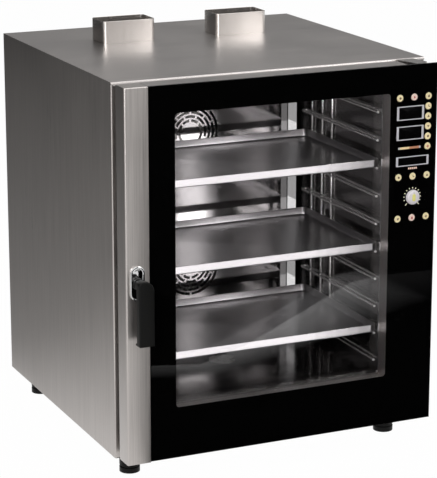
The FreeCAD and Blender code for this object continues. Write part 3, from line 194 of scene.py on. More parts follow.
# finer brushed sheet with crisp light at each fold; its paler tone, lighter than the cabinet's same steel, is
# painted light
painted_light_flue_stainless = brushed_stainless(
    "stainless_flue_brushed_painted_light", (2.4, 2.4, 220), "BAB5B1", "D6D1CD", 0.24, 0.05, 0.01)
# satin sheet round the cavity's mouth: a dull even grey
frame_stainless = brushed_stainless("stainless_frame_satin", (3, 3, 90), "8E8C8C", "9E9C9C", 0.36, 0.03, 0)
# polished cavity sheet: mirrors trays and rails, softly on the walls and darkly on the floor, whose copy of the
# sheet is coloured darker than the walls as painted shade
painted_shade_floor_stainless = brushed_stainless("stainless_cavity_floor_painted_shade", (3, 90, 3), "605E5E", "6C6A6A", 0.12, 0.03, 0)
wall_stainless = brushed_stainless("stainless_cavity_wall_satin", (3, 90, 3), "8A8888", "9A9898", 0.18, 0.03, 0)
cavity_stainless = brushed_stainless("stainless_polished_cavity", (3, 3, 90), "8E8C8C", "9E9C9C", 0.1, 0.03, 0)
# zinc-dipped sheet: cloudy pale patches
galvanised = worn_metal("steel_galvanised", "8A8D8F", "B4B6B7", 0.42, 35)
# the latch keeper coloured near black with a dull sheen: painted shade that keeps the door gap dark
painted_shade_keeper_black = worn_metal("steel_keeper_painted_shade_black", "1C1B1A", "2A2826", 0.45, 20)
# weld beads coloured near white, a painted glint: small white points of light
painted_glint_bead = worn_metal("steel_weld_bead_painted_glint", "EAE9E8", "F6F5F4", 0.3, 14, 0.3, 0.02)
# drawn wire: a thin line of light along each rail
bright_wire = worn_metal("steel_wire_bright", "CCCBCA", "D8D7D6", 0.18, 40, 0.9, 0.02)
# rolled aluminium: an even satin grey that mirrors softly
tray_aluminium = worn_metal("aluminium_tray_rolled", "9E9C9D", "A8A6A7", 0.3, 180, 1.0, 0.01)
# milled, pressed and ground metal: greys with ever tighter highlights
machined_aluminium = worn_metal("aluminium_machined", "9FA0A1", "BFC0C1", 0.35, 12)
pressed_fan_steel = worn_metal("stainless_pressed_fan", "7B7977", "A19F9C", 0.3, 22)
ground_steel = worn_metal("steel_ground_shaft", "8C8C8C", "B0B0B0", 0.22, 9)
# steel that heat has tinted: straw and brown blotches
heater_sheath = worn_metal("stainless_heat_tinted", "3A332C", "6A5B4C", 0.45, 18)
# chrome plate: sharp bright reflections
chrome_trim = worn_metal("chrome_polished", "C8C8C8", "E4E4E4", 0.09, 30)
# silver paint on plastic: a soft metallic sheen that mirrors nothing
silver_bezel = worn_metal("abs_silver_painted", "B4B2B8", "C8C6CB", 0.5, 9, 0.25)
knob_silver = worn_metal("abs_silver_knob_painted", "CDC8CC", "E0DBDE", 0.45, 9, 0.25)
# zinc plate and turned brass: small fittings that glint
zinc_screw = worn_metal("steel_zinc_plated", "9C9C9A", "C2C2C0", 0.3, 5)
brass_fitting = worn_metal("brass_turned", "A98542", "CFAE68", 0.28, 8)
# enamel: half gloss on the motors, flat black behind the glass
motor_enamel = moulded_plastic("enamel_motor_black", "17181A", "26282A", 0.4, 1.5, 0.02)
black_enamel = moulded_plastic("enamel_black_on_glass", "020202", "050505", 0.5, 2.0, 0.0, 0.0)
# grained plastic and silicone: black with a faint dull sheen
black_plastic = moulded_plastic("polyamide_black_grained", "060605", "0C0C0B", 0.4, 0.8, 0.05, 0.14)
door_seal = moulded_plastic("silicone_seal_black", "161616", "222221", 0.6, 1.2, 0.04)
# coloured keys: pale, with a soft round highlight
key_cream = moulded_plastic("abs_cream_keys", "DCCB9C", "EBDDB3", 0.38, 0.9, 0.02)
key_rose = moulded_plastic("abs_rose_keys", "DDBFB2", "EBD2C6", 0.38, 0.9, 0.02)
# acrylic: smooth gloss over one colour
knob_lens = moulded_plastic("acrylic_yellow_lens", "D2CC70", "E4DE8C", 0.25, 3.0, 0.02)
smoked_lens = moulded_plastic("acrylic_smoked_lens", "030303", "070707", 0.12, 5.0, 0.0, 0.3)
# solder mask and mineral wool: a glossy green board, and loose matt fibre
circuit_green = moulded_plastic("solder_mask_green", "1E4A2A", "2B6238", 0.4, 3.0, 0.02)
mineral_wool = moulded_plastic("mineral_wool_slab", "8E8259", "B5A97C", 0.95, 2.5, 0.6)
# screen-printed inks: flat and matt, the pale ones with a faint painted glow
ink_dark = lit_print("ink_brown_printed", "5A4430", "6E5640", 0.0, 0.6)
ink_red = lit_print("ink_red_printed", "A43A34", "B84C44", 0.0, 0.6)
peach_ink_painted_glow = lit_print("ink_peach_printed_painted_glow", "D4A88E", "ECD4C4", 0.15, 0.8)
pale_ink_painted_glow = lit_print("ink_cream_printed_painted_glow", "DAD4B4", "EAE5CC", 0.15, 0.8)
# lenses lit from behind: warm colour with a low even glow
bar_amber = lit_print("lens_amber_lit", "D8BC88", "E6CFA2", 0.1, 1.5)
bar_orange = lit_print("lens_orange_lit", "A06A4C", "B27C5E", 0.1, 1.5)
# window panes and film: clear, with a mirror image that is fainter on the film
clear_glass = door_glass("glass_toughened_clear", "FAF9F9", 0.01, 1.45)
coated_glass = door_glass("glass_low_reflection_film", "FAFAFB", 0.01, 1.3)

# what the CAD nodes are made of; any other node is upright brushed sheet
NODE_FINISHES = (
    # the hinge plates take the paler flue sheet, whose light tone is painted light
    (painted_light_flue_stainless, "hinge_plate_top hinge_plate_bottom"),
    (top_stainless, "door_top_rail door_bottom_rail"),
    (wall_stainless, "cavity_side_walls"),
    # the cavity floor takes the darker copy of the cavity sheet, painted shade
    (painted_shade_floor_stainless, "cavity_floor"),
    (cavity_stainless, "cavity_roof cavity_rear_wall fan_baffle drain_pipe"),
    (galvanised, "back_panel base_panel"),
    # the latch keeper, in the door gap, is coloured near black as painted shade
    (painted_shade_keeper_black, "latch_keeper"),
    (bright_wire, "rack_left rack_right"),
    (machined_aluminium, "hinge_blocks"),
    (pressed_fan_steel, "drain_strainer fan_wheel_upper fan_wheel_lower"),
    (ground_steel, "motor_shaft_upper motor_shaft_lower handle_spindle"),
    (heater_sheath, "heating_elements"),
    (brass_fitting, "water_inlet"),
    (motor_enamel, "fan_motors"),
    (black_enamel, "glass_border"),
    (black_plastic, "feet cable_gland"),
    (circuit_green, "control_board"),
    (mineral_wool, "insulation"),
    (clear_glass, "outer_glass inner_glass"),
)
finish_of = {node: finish for finish, nodes in NODE_FINISHES for node in nodes.split()}
for node_name, node_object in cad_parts.items():
    node_object.data.materials.clear()
    node_object.data.materials.append(finish_of.get(node_name, upright_stainless))


# Shapes, drawn in millimetres


def corners(node):
    """A CAD node's lowest and highest corners in millimetres."""
    return [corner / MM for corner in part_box(node)]


def front_middle(node):
    """A CAD node's middle as seen from the front."""
    low, high = corners(node)
    return (low.x + high.x) / 2, (low.z + high.z) / 2


def at(axis, across, along, level):
    """A point from two coordinates in the plane that an axis stands on, and one on the axis."""
    return {"X": (level, across, along), "Y": (across, level, along), "Z": (across, along, level)}[axis]


def circle(centre, radius, count=CIRCLE_POINTS):
    """Points round a circle."""
    turns = [2 * math.pi * step / count for step in range(count)]
    return [(centre[0] + radius * math.cos(turn), centre[1] + radius * math.sin(turn)) for turn in turns]


def rounded_outline(low, high, radii, inset=0.0):
    """A rectangle with rounded corners, their radii given from the lower left round to the upper left."""
    left, bottom, right, top = low[0] + inset, low[1] + inset, high[0] - inset, high[1] - inset
    points = []
    for (across, along, start), radius in zip(
            ((left, bottom, 180), (right, bottom, 270), (right, top, 0), (left, top, 90)), radii):
        small = max(radius - inset, FINE)
        middle = (across + small * (1 if across == left else -1),
                  along + small * (1 if along == bottom else -1))
        for step in range(ROUND_STEPS + 1):
            turn = math.radians(start + 90 * step / ROUND_STEPS)
            points.append((middle[0] + small * math.cos(turn), middle[1] + small * math.sin(turn)))
    return points


def soft_levels(start, end, first_round, last_round):
    """Insets and levels from start to end, with a quarter round at either end."""
    way = 1 if end > start else -1
    turns = [math.pi / 2 * step / ROUND_STEPS for step in range(ROUND_STEPS + 1)]
    first = [(first_round * (1 - math.sin(turn)), start + way * first_round * (1 - math.cos(turn)))
             for turn in turns]
    last = [(last_round * (1 - math.sin(turn)), end - way * last_round * (1 - math.cos(turn)))
            for turn in reversed(turns)]
    return first + last


def loft(build, axis, levels, closed=False, finish=0):
    """Skin a row of (outline, level) pairs, capped at both ends unless the row closes on itself."""
    loops = [[build.verts.new(at(axis, across, along, level)) for across, along in outline]
             for outline, level in levels]
    count = len(loops[0])
    faces = []
    for one, other in zip(loops, loops[1:] + loops[:1] if closed else loops[1:]):
        for step in range(count):
            after = (step + 1) % count
            faces.append(build.faces.new((one[step], one[after], other[after], other[step])))
    if not closed:
        faces += [build.faces.new(loops[0]), build.faces.new(loops[-1])]
    for face in faces:
        face.material_index = finish


def prism(build, axis, outline, start, end, finish=0):
    """A straight block of one outline."""
    loft(build, axis, [(outline, start), (outline, end)], finish=finish)


def turned(build, axis, centre, profile):
    """A round piece from its (radius, level) profile."""
    loft(build, axis, [(circle(centre, radius), level) for radius, level in profile])


def moulded(build, axis, low, high, radii, section, closed=False, finish=0):
    """A piece with rounded corners from its (inset, level) section."""
    loft(build, axis, [(rounded_outline(low, high, radii, inset), level) for inset, level in section],
         closed, finish)


def rounded_path(points):
    """A line of (across, along, radius) points with its corners rounded."""
    line = []
    for index, (across, along, radius) in enumerate(points):
        here = Vector((across, along))
        if radius == 0:
            line.append(here)
            continue
        ways = [(Vector(points[index + step][:2]) - here).normalized() for step in (-1, 1)]
        half = ways[0].angle(ways[1]) / 2
        middle = here + (ways[0] + ways[1]).normalized() * (radius / math.sin(half))
        start, end = [(here + way * (radius / math.tan(half)) - middle).normalized() for way in ways]
        line += [middle + start.slerp(end, step / ROUND_STEPS) * radius for step in range(ROUND_STEPS + 1)]
    return line


def folded_sheet(build, axis, points, gauge, start, end):
    """Sheet metal folded along a rounded line. The gauge lies to its left, or to its right if negative."""
    line = rounded_path(points)
    inner = []
    for index, here in enumerate(line):
        ways = [(line[index + step + 1] - line[index + step]).normalized()
                for step in (-1, 0) if 0 <= index + step and index + step + 1 < len(line)]
        way = sum(ways, Vector((0, 0))).normalized()
        side = Vector((-way.y, way.x))
        inner.append(here + side * (gauge / max(side.dot(Vector((-ways[0].y, ways[0].x))), MITRE_LIMIT)))
    prism(build, axis, [tuple(point) for point in line + inner[::-1]], start, end)


def pierced_plate(build, axis, outline, holes, level, gauge):
    """A flat plate with holes in it."""
    edges = []
    for loop in [outline] + holes:
        ring = [build.verts.new(at(axis, across, along, level)) for across, along in loop]
        edges += [build.edges.new((ring[index - 1], ring[index])) for index in range(len(ring))]
    filled = bmesh.ops.triangle_fill(build, use_beauty=True, use_dissolve=False, edges=edges)
    faces = [item for item in filled["geom"] if isinstance(item, bmesh.types.BMFace)]
    grown = bmesh.ops.extrude_face_region(build, geom=faces, use_keep_orig=True)
    raised = [item for item in grown["geom"] if isinstance(item, bmesh.types.BMVert)]
    bmesh.ops.translate(build, verts=raised, vec=at(axis, 0, 0, gauge))


def piece(name, build, finishes, body, nodes=()):
    """Make a drawn piece into an object: it rides on a body, and the CAD nodes that it replaces are hidden."""
    bmesh.ops.recalc_face_normals(build, faces=build.faces)
    mesh = bpy.data.meshes.new(name)
    build.to_mesh(mesh)
    build.free()
    mesh.transform(Matrix.Diagonal((MM, MM, MM, 1)))
    mesh.shade_smooth()
    mesh.set_sharp_from_angle(angle=SHARP_ANGLE)
    for finish in finishes:
        mesh.materials.append(finish)
    made = linked(name, mesh)
    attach(made, body)
    if nodes:
        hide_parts(*nodes)


# Cabinet

PANEL_GAUGE = 1.5
EDGE_FOLD = 3.2
FRONT_RETURN = 14
FRAME_SEAM = 0.4
panel_low, panel_high = corners("left_panel")
top_low, top_high = corners("top_panel")
LEFT, RIGHT = top_low.x, top_high.x
FRONT, REAR = panel_low.y, panel_high.y
UNDER, TOP = panel_low.z, top_high.z


def side_panels():
    """Side sheets whose front edge is folded round towards the door."""
    for side, name in ((-1, "left_panel"), (1, "right_panel")):
        build = bmesh.new()
        outer = side * RIGHT
        path = [(outer - side * FRONT_RETURN, FRONT, 0), (outer, FRONT, EDGE_FOLD), (outer, REAR, 0)]
        folded_sheet(build, "Z", path, PANEL_GAUGE * side, UNDER, TOP - PANEL_GAUGE)
        piece(name + "_sheet", build, [upright_stainless], "cabinet", [name])


CHIMNEY_WIDTH = 142
CHIMNEY_CORNERS = [12] * 4
HOLE_GAP = 0.3
RIM_ROUND = 0.5


def chimney_boxes():
    """Each flue stub's lower left and upper right corner, seen from above."""
    low, high = corners("vent_chimneys")
    return [((left, low.y), (left + CHIMNEY_WIDTH, high.y)) for left in (low.x, high.x - CHIMNEY_WIDTH)]


def vent_chimneys():
    """Two folded and welded flue stubs with a slightly rounded rim."""
    low, high = corners("vent_chimneys")
    shoulder = high.z - RIM_ROUND
    section = [(0, low.z), (0, shoulder), (PANEL_GAUGE / 2, high.z), (PANEL_GAUGE, shoulder),
               (PANEL_GAUGE, low.z)]
    build = bmesh.new()
    for box in chimney_boxes():
        moulded(build, "Z", *box, CHIMNEY_CORNERS, section, closed=True)
    piece("vent_chimney_tubes", build, [painted_light_flue_stainless], "cabinet", ["vent_chimneys"])


VISOR_TIP = top_low.y
VISOR_DROP = 5
NOTCH_LEFT = corners("hinge_blocks")[0].x
TOP_SEAM = 8
ROLL_REACH, ROLL_RADIUS = 0.6, 3.0
BEND_REACH, BEND_DROP, BEND_RADIUS = 1.4, 3.6, 1.0
LIP_REACH, LIP_DROP = 1.2, 6


def top_panel():
    """Top sheet with its two chimney holes, a rolled front edge and the sloping visor over the door gap."""
    build = bmesh.new()
    seam = FRONT + TOP_SEAM
    holes = [rounded_outline(*box, CHIMNEY_CORNERS, -HOLE_GAP) for box in chimney_boxes()]
    pierced_plate(build, "Z", [(LEFT, seam), (RIGHT, seam), (RIGHT, REAR), (LEFT, REAR)], holes,
                  TOP - PANEL_GAUGE, PANEL_GAUGE)
    edge = [(seam, TOP, 0), (FRONT - ROLL_REACH, TOP, ROLL_RADIUS)]
    visor = edge + [(FRONT - BEND_REACH, TOP - BEND_DROP, BEND_RADIUS), (VISOR_TIP, TOP - VISOR_DROP, 0)]
    lip = edge + [(FRONT - LIP_REACH, TOP - LIP_DROP, 0)]
    folded_sheet(build, "X", visor, PANEL_GAUGE, LEFT, NOTCH_LEFT)
    folded_sheet(build, "X", lip, PANEL_GAUGE, NOTCH_LEFT, RIGHT)
    piece("top_panel_sheet", build, [top_stainless], "cabinet", ["top_panel"])


MOUTH = (-308, 173), (308, 902), [6] * 4


def front_frame():
    """Front sheet round the cavity mouth, with the mouth's edge turned inwards."""
    low, high = corners("front_frame")
    build = bmesh.new()
    side = FRONT_RETURN + FRAME_SEAM
    outline = [(LEFT + side, low.z), (RIGHT - side, low.z), (RIGHT - side, high.z), (LEFT + side, high.z)]
    pierced_plate(build, "Y", outline, [rounded_outline(*MOUTH)], FRONT, PANEL_GAUGE)
    moulded(build, "Y", *MOUTH,
            [(0, FRONT), (0, high.y), (-PANEL_GAUGE, high.y), (-PANEL_GAUGE, FRONT)], closed=True)
    piece("front_frame_sheet", build, [frame_stainless], "cabinet", ["front_frame"])


# half of the seal's section: inset from its outer edge, with the height over its foot or below its crown
GASKET_FOOT = [(0, 0), (0, 6), (3, 9), (3.5, 18)]
GASKET_CROWN = (5.5, 2)
GASKET_WIDTH = 18
GASKET_CORNERS = [24] * 4


def door_gasket():
    """Hollow-section seal: a broad foot on the front frame and a rounded bulb towards the door."""
    low, high = corners("door_gasket")
    half = [(inset, high.y - height) for inset, height in GASKET_FOOT]
    half.append((GASKET_CROWN[0], low.y + GASKET_CROWN[1]))
    section = half + [(GASKET_WIDTH / 2, low.y)]
    section += [(GASKET_WIDTH - inset, level) for inset, level in reversed(half)]
    build = bmesh.new()
    moulded(build, "Y", (low.x, low.z), (high.x, high.z), GASKET_CORNERS, section, closed=True)
    piece("door_gasket_seal", build, [door_seal], "cabinet", ["door_gasket"])


# inset from the rim and rise over the foot: up the outside, over the rolled rim and down to the floor
TRAY_SECTION = [(5, 0), (2.2, 0.5), (0.8, 1.8), (0.2, 4.5), (0.2, 17), (0, 18.2), (0, 19.4), (0.6, 20),
                (1.4, 20), (2.0, 19.2), (1.8, 17), (1.5, 6), (2.4, 3), (4.2, 1.6), (7, 1.2)]
TRAY_CORNERS = [14] * 4
TRAYS = ("tray_upper", "tray_middle", "tray_lower")


def baking_trays():
    """Drawn aluminium pans: rounded foot, upright wall and a rolled rim."""
    for name in TRAYS:
        low, high = corners(name)
        build = bmesh.new()
        moulded(build, "Z", low[:2], high[:2], TRAY_CORNERS,
                [(inset, low.z + rise) for inset, rise in TRAY_SECTION])
        piece(name + "_pan", build, [tray_aluminium], "cabinet", [name])


# Door

DOOR_FRONT = corners("outer_glass")[0].y
STRIP_CORNERS = [4, 1.5, 2.5, 4]
STRIP_FOOT_ROUND, STRIP_TOP_ROUND = 0.8, 2.2


def door_strip():
    """Folded box section at the door's opening side."""
    low, high = corners("door_left_strip")
    build = bmesh.new()
    moulded(build, "Z", low[:2], high[:2], STRIP_CORNERS,
            soft_levels(low.z, high.z, STRIP_FOOT_ROUND, STRIP_TOP_ROUND))
    piece("door_strip_folded", build, [upright_stainless], "door", ["door_left_strip"])


# inset from the rose's edge and depth behind its face: the raised rim, then the dished floor
ROSE_SECTION = [(0, 2), (0.6, 0.6), (2, 0), (3.2, 0.3), (3.8, 1.4), (4.6, 1.6), (8, 0.9), (14, 0.4)]


def rosette():
    """Chrome rose behind the lever: a raised round rim about a dished floor."""
    low, high = corners("handle_rosette")
    radius = (high.x - low.x) / 2
    build = bmesh.new()
    moulded(build, "Y", (low.x, low.z), (high.x, high.z), [radius] * 4,
            [(0, high.y)] + [(inset, low.y + depth) for inset, depth in ROSE_SECTION])
    piece("handle_rose", build, [chrome_trim], "door", ["handle_rosette"])


LEVER_DEPTH = 18
LEVER_CORNERS = [3, 3, 24, 10]
LEVER_BACK_ROUND, LEVER_FACE_ROUND = 1.2, 2.6
# the neck's radius with its height over the rose, then with its depth behind the bar's back
NECK_FOOT = [(13, 0), (14, 1), (14, 7), (12.6, 8)]
NECK_END = [(12.6, 3), (14, -2)]
GRIP_CORNERS = [2, 2, 3, 3]
GRIP_FRONT, GRIP_BACK = 6, 9
GRIP_INSET, GRIP_HEIGHT, GRIP_ROUND = 0.2, 4.6, 1.2


def lever():
    """Moulded lever: a bar with a wide round shoulder and soft edges, its neck and a finger lip at its foot."""
    low, high = corners("handle_lever")
    bar_back = low.y + LEVER_DEPTH
    build = bmesh.new()
    moulded(build, "Y", (low.x, low.z), (high.x, high.z), LEVER_CORNERS,
            soft_levels(bar_back, low.y, LEVER_BACK_ROUND, LEVER_FACE_ROUND))
    turned(build, "Y", front_middle("handle_rosette"),
           [(radius, high.y - height) for radius, height in NECK_FOOT]
           + [(radius, bar_back + depth) for radius, depth in NECK_END])
    moulded(build, "Z", (low.x + GRIP_INSET, bar_back - GRIP_FRONT),
            (high.x - GRIP_INSET, bar_back + GRIP_BACK), GRIP_CORNERS,
            soft_levels(low.z + GRIP_INSET, low.z + GRIP_HEIGHT, GRIP_ROUND, GRIP_ROUND))
    piece("handle_lever_moulded", build, [black_plastic], "handle", ["handle_lever"])


WINDOW = (-282.3, 194.2), (274.3, 897.8), [8] * 4
FILM_GAP = 0.05


def window_film():
    """Clear film behind the window: it adds a faint mirror image, which the printed border round it lacks."""
    low, high = corners("glass_border")
    build = bmesh.new()
    prism(build, "Y", rounded_outline(*WINDOW), low.y + FILM_GAP, high.y - FILM_GAP)
    piece("window_film", build, [coated_glass], "door")


# Controls: keys with printed signs, knob, displays and lit bar


def sign_bar(width, height, across=0.0, along=0.0):
    """The corners of a bar about its middle, from the lower left."""
    return [(across + side * width / 2, along + end * height / 2)
            for side, end in ((-1, -1), (1, -1), (1, 1), (-1, 1))]


SIGNS = {
    "dot": [circle((0, 0), 2.2, 16)],
    "up": [[(-2.6, -1.8), (2.6, -1.8), (0, 2.6)]],
    "down": [[(-2.6, 1.8), (0, -2.6), (2.6, 1.8)]],
    "plus": [sign_bar(5.4, 1.6), sign_bar(1.6, 1.9, 0, 1.75), sign_bar(1.6, 1.9, 0, -1.75)],
    "drop": [[(0, 3.4), (-1.9, 0.2), (-1.9, -1.4), (-0.9, -2.5), (0.9, -2.5), (1.9, -1.4), (1.9, 0.2)]],
    "clock": [sign_bar(1.3, 3.6, 0, 1.2), sign_bar(3.2, 1.3, 1.6, -0.8)],
    "start": [[(-1.8, -2.6), (2.8, 0), (-1.8, 2.6)]],
}
KEY_SIGNS = {"side": ("drop", "clock", "up", "down", "dot", "plus"), "top": ("start", "dot"),
             "upper": ("up", "clock", "dot"), "lower": ("plus", "drop", "down")}
KEYS = [("button_%s_%d" % (row, place), sign)
        for row, signs in KEY_SIGNS.items() for place, sign in enumerate(signs, 1)]
ROSE_KEYS = ("button_top_1", "button_lower_2")
RED_SIGNS = ROSE_KEYS + ("button_side_6",)
SIGN_PROUD = 0.15
SIGN_SIZE = 1.3
KEY_STEM = 2.5
# radius and depth behind the face: stem, collar behind the glass, cap and its rounded edge
KEY_PROFILE = [(KEY_STEM, 8.9), (10, 8.9), (10, 7.4), (8.1, 7.4), (8.1, 1.1), (7.8, 0.5), (7.2, 0.1), (6, 0),
               (FINE, 0)]


def push_keys():
    """Round keys with a softened edge and a sign printed on the face."""
    for name, sign in KEYS:
        low, high = corners(name)
        centre = front_middle(name)
        build = bmesh.new()
        turned(build, "Y", centre,
               [(KEY_STEM, high.y)] + [(radius, low.y + depth) for radius, depth in KEY_PROFILE])
        for shape in SIGNS[sign]:
            placed = [(centre[0] + across * SIGN_SIZE, centre[1] + along * SIGN_SIZE)
                      for across, along in shape]
            prism(build, "Y", placed, low.y + SIGN_PROUD, low.y - SIGN_PROUD, finish=1)
        finishes = [key_rose if name in ROSE_KEYS else key_cream, ink_red if name in RED_SIGNS else ink_dark]
        piece(name + "_cap", build, finishes, name + "_key", [name])


KNOB_GAP = 0.6
KNOB_STEM = 3
# radius with the height over the knob's seat, then with the depth behind its face
KNOB_SKIRT = [(KNOB_STEM, 0), (17.4, 0), (18, 0.8), (18, 3.4), (17.2, 4.6)]
KNOB_CROWN = [(16, 2.0), (14.8, 1.0), (13.2, 0.6), (FINE, 0.6)]
FLUTES, FLUTE_POINTS = 36, 8
FLUTE_CIRCLE, FLUTE_RADIUS = 17.2, 0.8
FLUTE_FOOT, FLUTE_TOP = 0.6, 4.2
LENS_SIZE = (9, 18)
LENS_CORNERS = [4.4] * 4
LENS_BEVEL, LENS_FOOT, LENS_SHOULDER = 0.8, 0.9, 0.3
POINTER_SIZE = (1.4, 2.4)
POINTER_OUT, POINTER_FOOT, POINTER_FACE = 11.4, 0.8, 0.6


def control_knob():
    """Turned silver knob with a fluted skirt, a long yellow lens across its face and a printed pointer."""
    low, high = corners("control_knob")
    x, z = centre = front_middle("control_knob")
    face = low.y
    seat = DOOR_FRONT - KNOB_GAP
    build = bmesh.new()
    turned(build, "Y", centre,
           [(KNOB_STEM, high.y)] + [(radius, seat - height) for radius, height in KNOB_SKIRT]
           + [(radius, face + depth) for radius, depth in KNOB_CROWN])
    for spot in circle(centre, FLUTE_CIRCLE, FLUTES):
        prism(build, "Y", circle(spot, FLUTE_RADIUS, FLUTE_POINTS), seat - FLUTE_FOOT, seat - FLUTE_TOP)
    lens = sign_bar(*LENS_SIZE, x, z)
    moulded(build, "Y", lens[0], lens[2], LENS_CORNERS,
            [(0, face + LENS_FOOT), (0, face + LENS_SHOULDER), (LENS_BEVEL, face)], finish=1)
    prism(build, "Y", sign_bar(*POINTER_SIZE, x, z + POINTER_OUT), face + POINTER_FOOT,
          face + POINTER_FACE - SIGN_PROUD, finish=2)
    piece("control_knob_turned", build, [knob_silver, knob_lens, ink_dark], "knob",
          ["control_knob"])


# lower left and upper right corner of the upper, lower and wide display's frames
DISPLAYS = (((290.6, 831.1), (364.2, 865.1)), ((290.6, 782.5), (364.2, 816.5)),
            ((290.6, 718.6), (379.6, 742.3)))
BEZEL_SIDE, BEZEL_EDGE = 5.6, 2.3
BEZEL_CORNERS = [1.5] * 4
BEZEL_BEVEL, BEZEL_LIP = 0.5, 0.4
BEZEL_SHOULDER, BEZEL_HEIGHT, BEZEL_MOUTH = 0.6, 1.1, 0.7
DISPLAY_CORNERS = [1] * 4
DISPLAY_HEIGHT, DISPLAY_ROUND = 0.4, 0.1


def display_bezels():
    """Silver frames on the glass about each display's smoked lens."""
    frames = bmesh.new()
    lenses = bmesh.new()
    top = DOOR_FRONT - BEZEL_HEIGHT
    for low, high in DISPLAYS:
        inner = ((low[0] + BEZEL_SIDE, low[1] + BEZEL_EDGE), (high[0] - BEZEL_SIDE, high[1] - BEZEL_EDGE),
                 DISPLAY_CORNERS)
        outline = rounded_outline(low, high, BEZEL_CORNERS)
        shoulder = rounded_outline(low, high, BEZEL_CORNERS, BEZEL_BEVEL)
        lip = rounded_outline(*inner, -BEZEL_LIP)
        mouth = rounded_outline(*inner)
        loft(frames, "Y", [(outline, DOOR_FRONT), (outline, DOOR_FRONT - BEZEL_SHOULDER), (shoulder, top),
                           (lip, top), (mouth, DOOR_FRONT - BEZEL_MOUTH), (mouth, DOOR_FRONT)], closed=True)
        moulded(lenses, "Y", *inner,
                soft_levels(DOOR_FRONT, DOOR_FRONT - DISPLAY_HEIGHT, DISPLAY_ROUND, DISPLAY_ROUND))
    piece("display_bezels", frames, [silver_bezel], "door")
    piece("display_lenses", lenses, [smoked_lens], "door")


# where each part of the light bar starts and ends, and its finish
BAR_PARTS = ((295.8, 300, 2), (300.2, 326, 0), (326.2, 352.3, 1), (352.5, 356.5, 2))
BAR_LEVEL, BAR_HALF_HEIGHT, BAR_DEPTH = 763.2, 2.7, 0.8
BAR_CORNERS = [0.8] * 4
BAR_FOOT_ROUND, BAR_FACE_ROUND = 0.2, 0.4


def lit_bar():
    """Two-colour light bar under the displays, between small silver end caps."""
    build = bmesh.new()
    levels = soft_levels(DOOR_FRONT, DOOR_FRONT - BAR_DEPTH, BAR_FOOT_ROUND, BAR_FACE_ROUND)
    for start, end, finish in BAR_PARTS:
        moulded(build, "Y", (start, BAR_LEVEL - BAR_HALF_HEIGHT), (end, BAR_LEVEL + BAR_HALF_HEIGHT),
                BAR_CORNERS, levels, finish=finish)
    piece("level_light_bar", build, [bar_amber, bar_orange, silver_bezel], "door")


# angle in degrees, inner and outer radius, and width of each stroke round the knob
STROKES = [(turn, 21.0, 24.2, 2.1) for turn in range(-22, 203, 22)]
STROKES += [(turn, 20.5, 27, 2.0) for turn in (-46, 226)]
MARKS = 5
MARK_SIZE = (3.6, 4.4)
MARK_START, MARK_PITCH, MARK_LEVEL = 326, 5, 712.3
PRINT_HEIGHT = 0.2


def knob_scale():
    """Pale dashes round the knob with two longer end marks, and a row of small marks under the wide display."""
    build = bmesh.new()
    middle = Vector(front_middle("control_knob"))
    for turn, inner, outer, width in STROKES:
        way = Vector((math.cos(math.radians(turn)), math.sin(math.radians(turn))))
        side = Vector((-way.y, way.x)) * (width / 2)
        shape = [tuple(middle + way * reach + side * hand)
                 for reach, hand in ((inner, -1), (outer, -1), (outer, 1), (inner, 1))]
        prism(build, "Y", shape, DOOR_FRONT, DOOR_FRONT - PRINT_HEIGHT)
    for step in range(MARKS):
        shape = sign_bar(*MARK_SIZE, MARK_START + MARK_PITCH * step, MARK_LEVEL)
        prism(build, "Y", shape, DOOR_FRONT, DOOR_FRONT - PRINT_HEIGHT, finish=1)
    # the pale dashes and marks glow a little, painted light on printed ink
    piece("knob_scale_print", build, [pale_ink_painted_glow, peach_ink_painted_glow], "door")


for draw in (side_panels, top_panel, front_frame, vent_chimneys, door_gasket, baking_trays, door_strip,
             window_film, rosette, lever, push_keys, control_knob, display_bezels, lit_bar, knob_scale):
    draw()


# Screws and weld beads, as node trees that are turned into plain meshes

WASHER_SHARE, NECK_SHARE, CROWN_SHARE = 0.3, 0.74, 0.52
WASHER_SIDES, HEAD_SIDES = 16, 6
BEAD_STEPS = 3


def open_tree(name, inputs):
    """A node tree with a mesh going in and one coming out, and named inputs for its sizes and finish."""
    tree = bpy.data.node_groups.new(name, "GeometryNodeTree")
    tree.interface.new_socket("Geometry", in_out="OUTPUT", socket_type="NodeSocketGeometry")
    sockets = {}
    for label, kind in [("Geometry", "Geometry")] + inputs + [("Finish", "Material")]:
        made = tree.interface.new_socket(label, in_out="INPUT", socket_type="NodeSocket" + kind)
        sockets[label] = made.identifier
    return tree, sockets, add(tree, "NodeGroupInput").outputs


def close_tree(tree, given, copies):
    """The tree's end: its copies made real and given their finish."""
    real = add(tree, "GeometryNodeRealizeInstances", {"Geometry": copies.outputs["Instances"]})
    coated = add(tree, "GeometryNodeSetMaterial",
                 {"Geometry": real.outputs["Geometry"], "Material": given["Finish"]})
    add(tree, "NodeGroupOutput", {"Geometry": coated.outputs["Geometry"]})


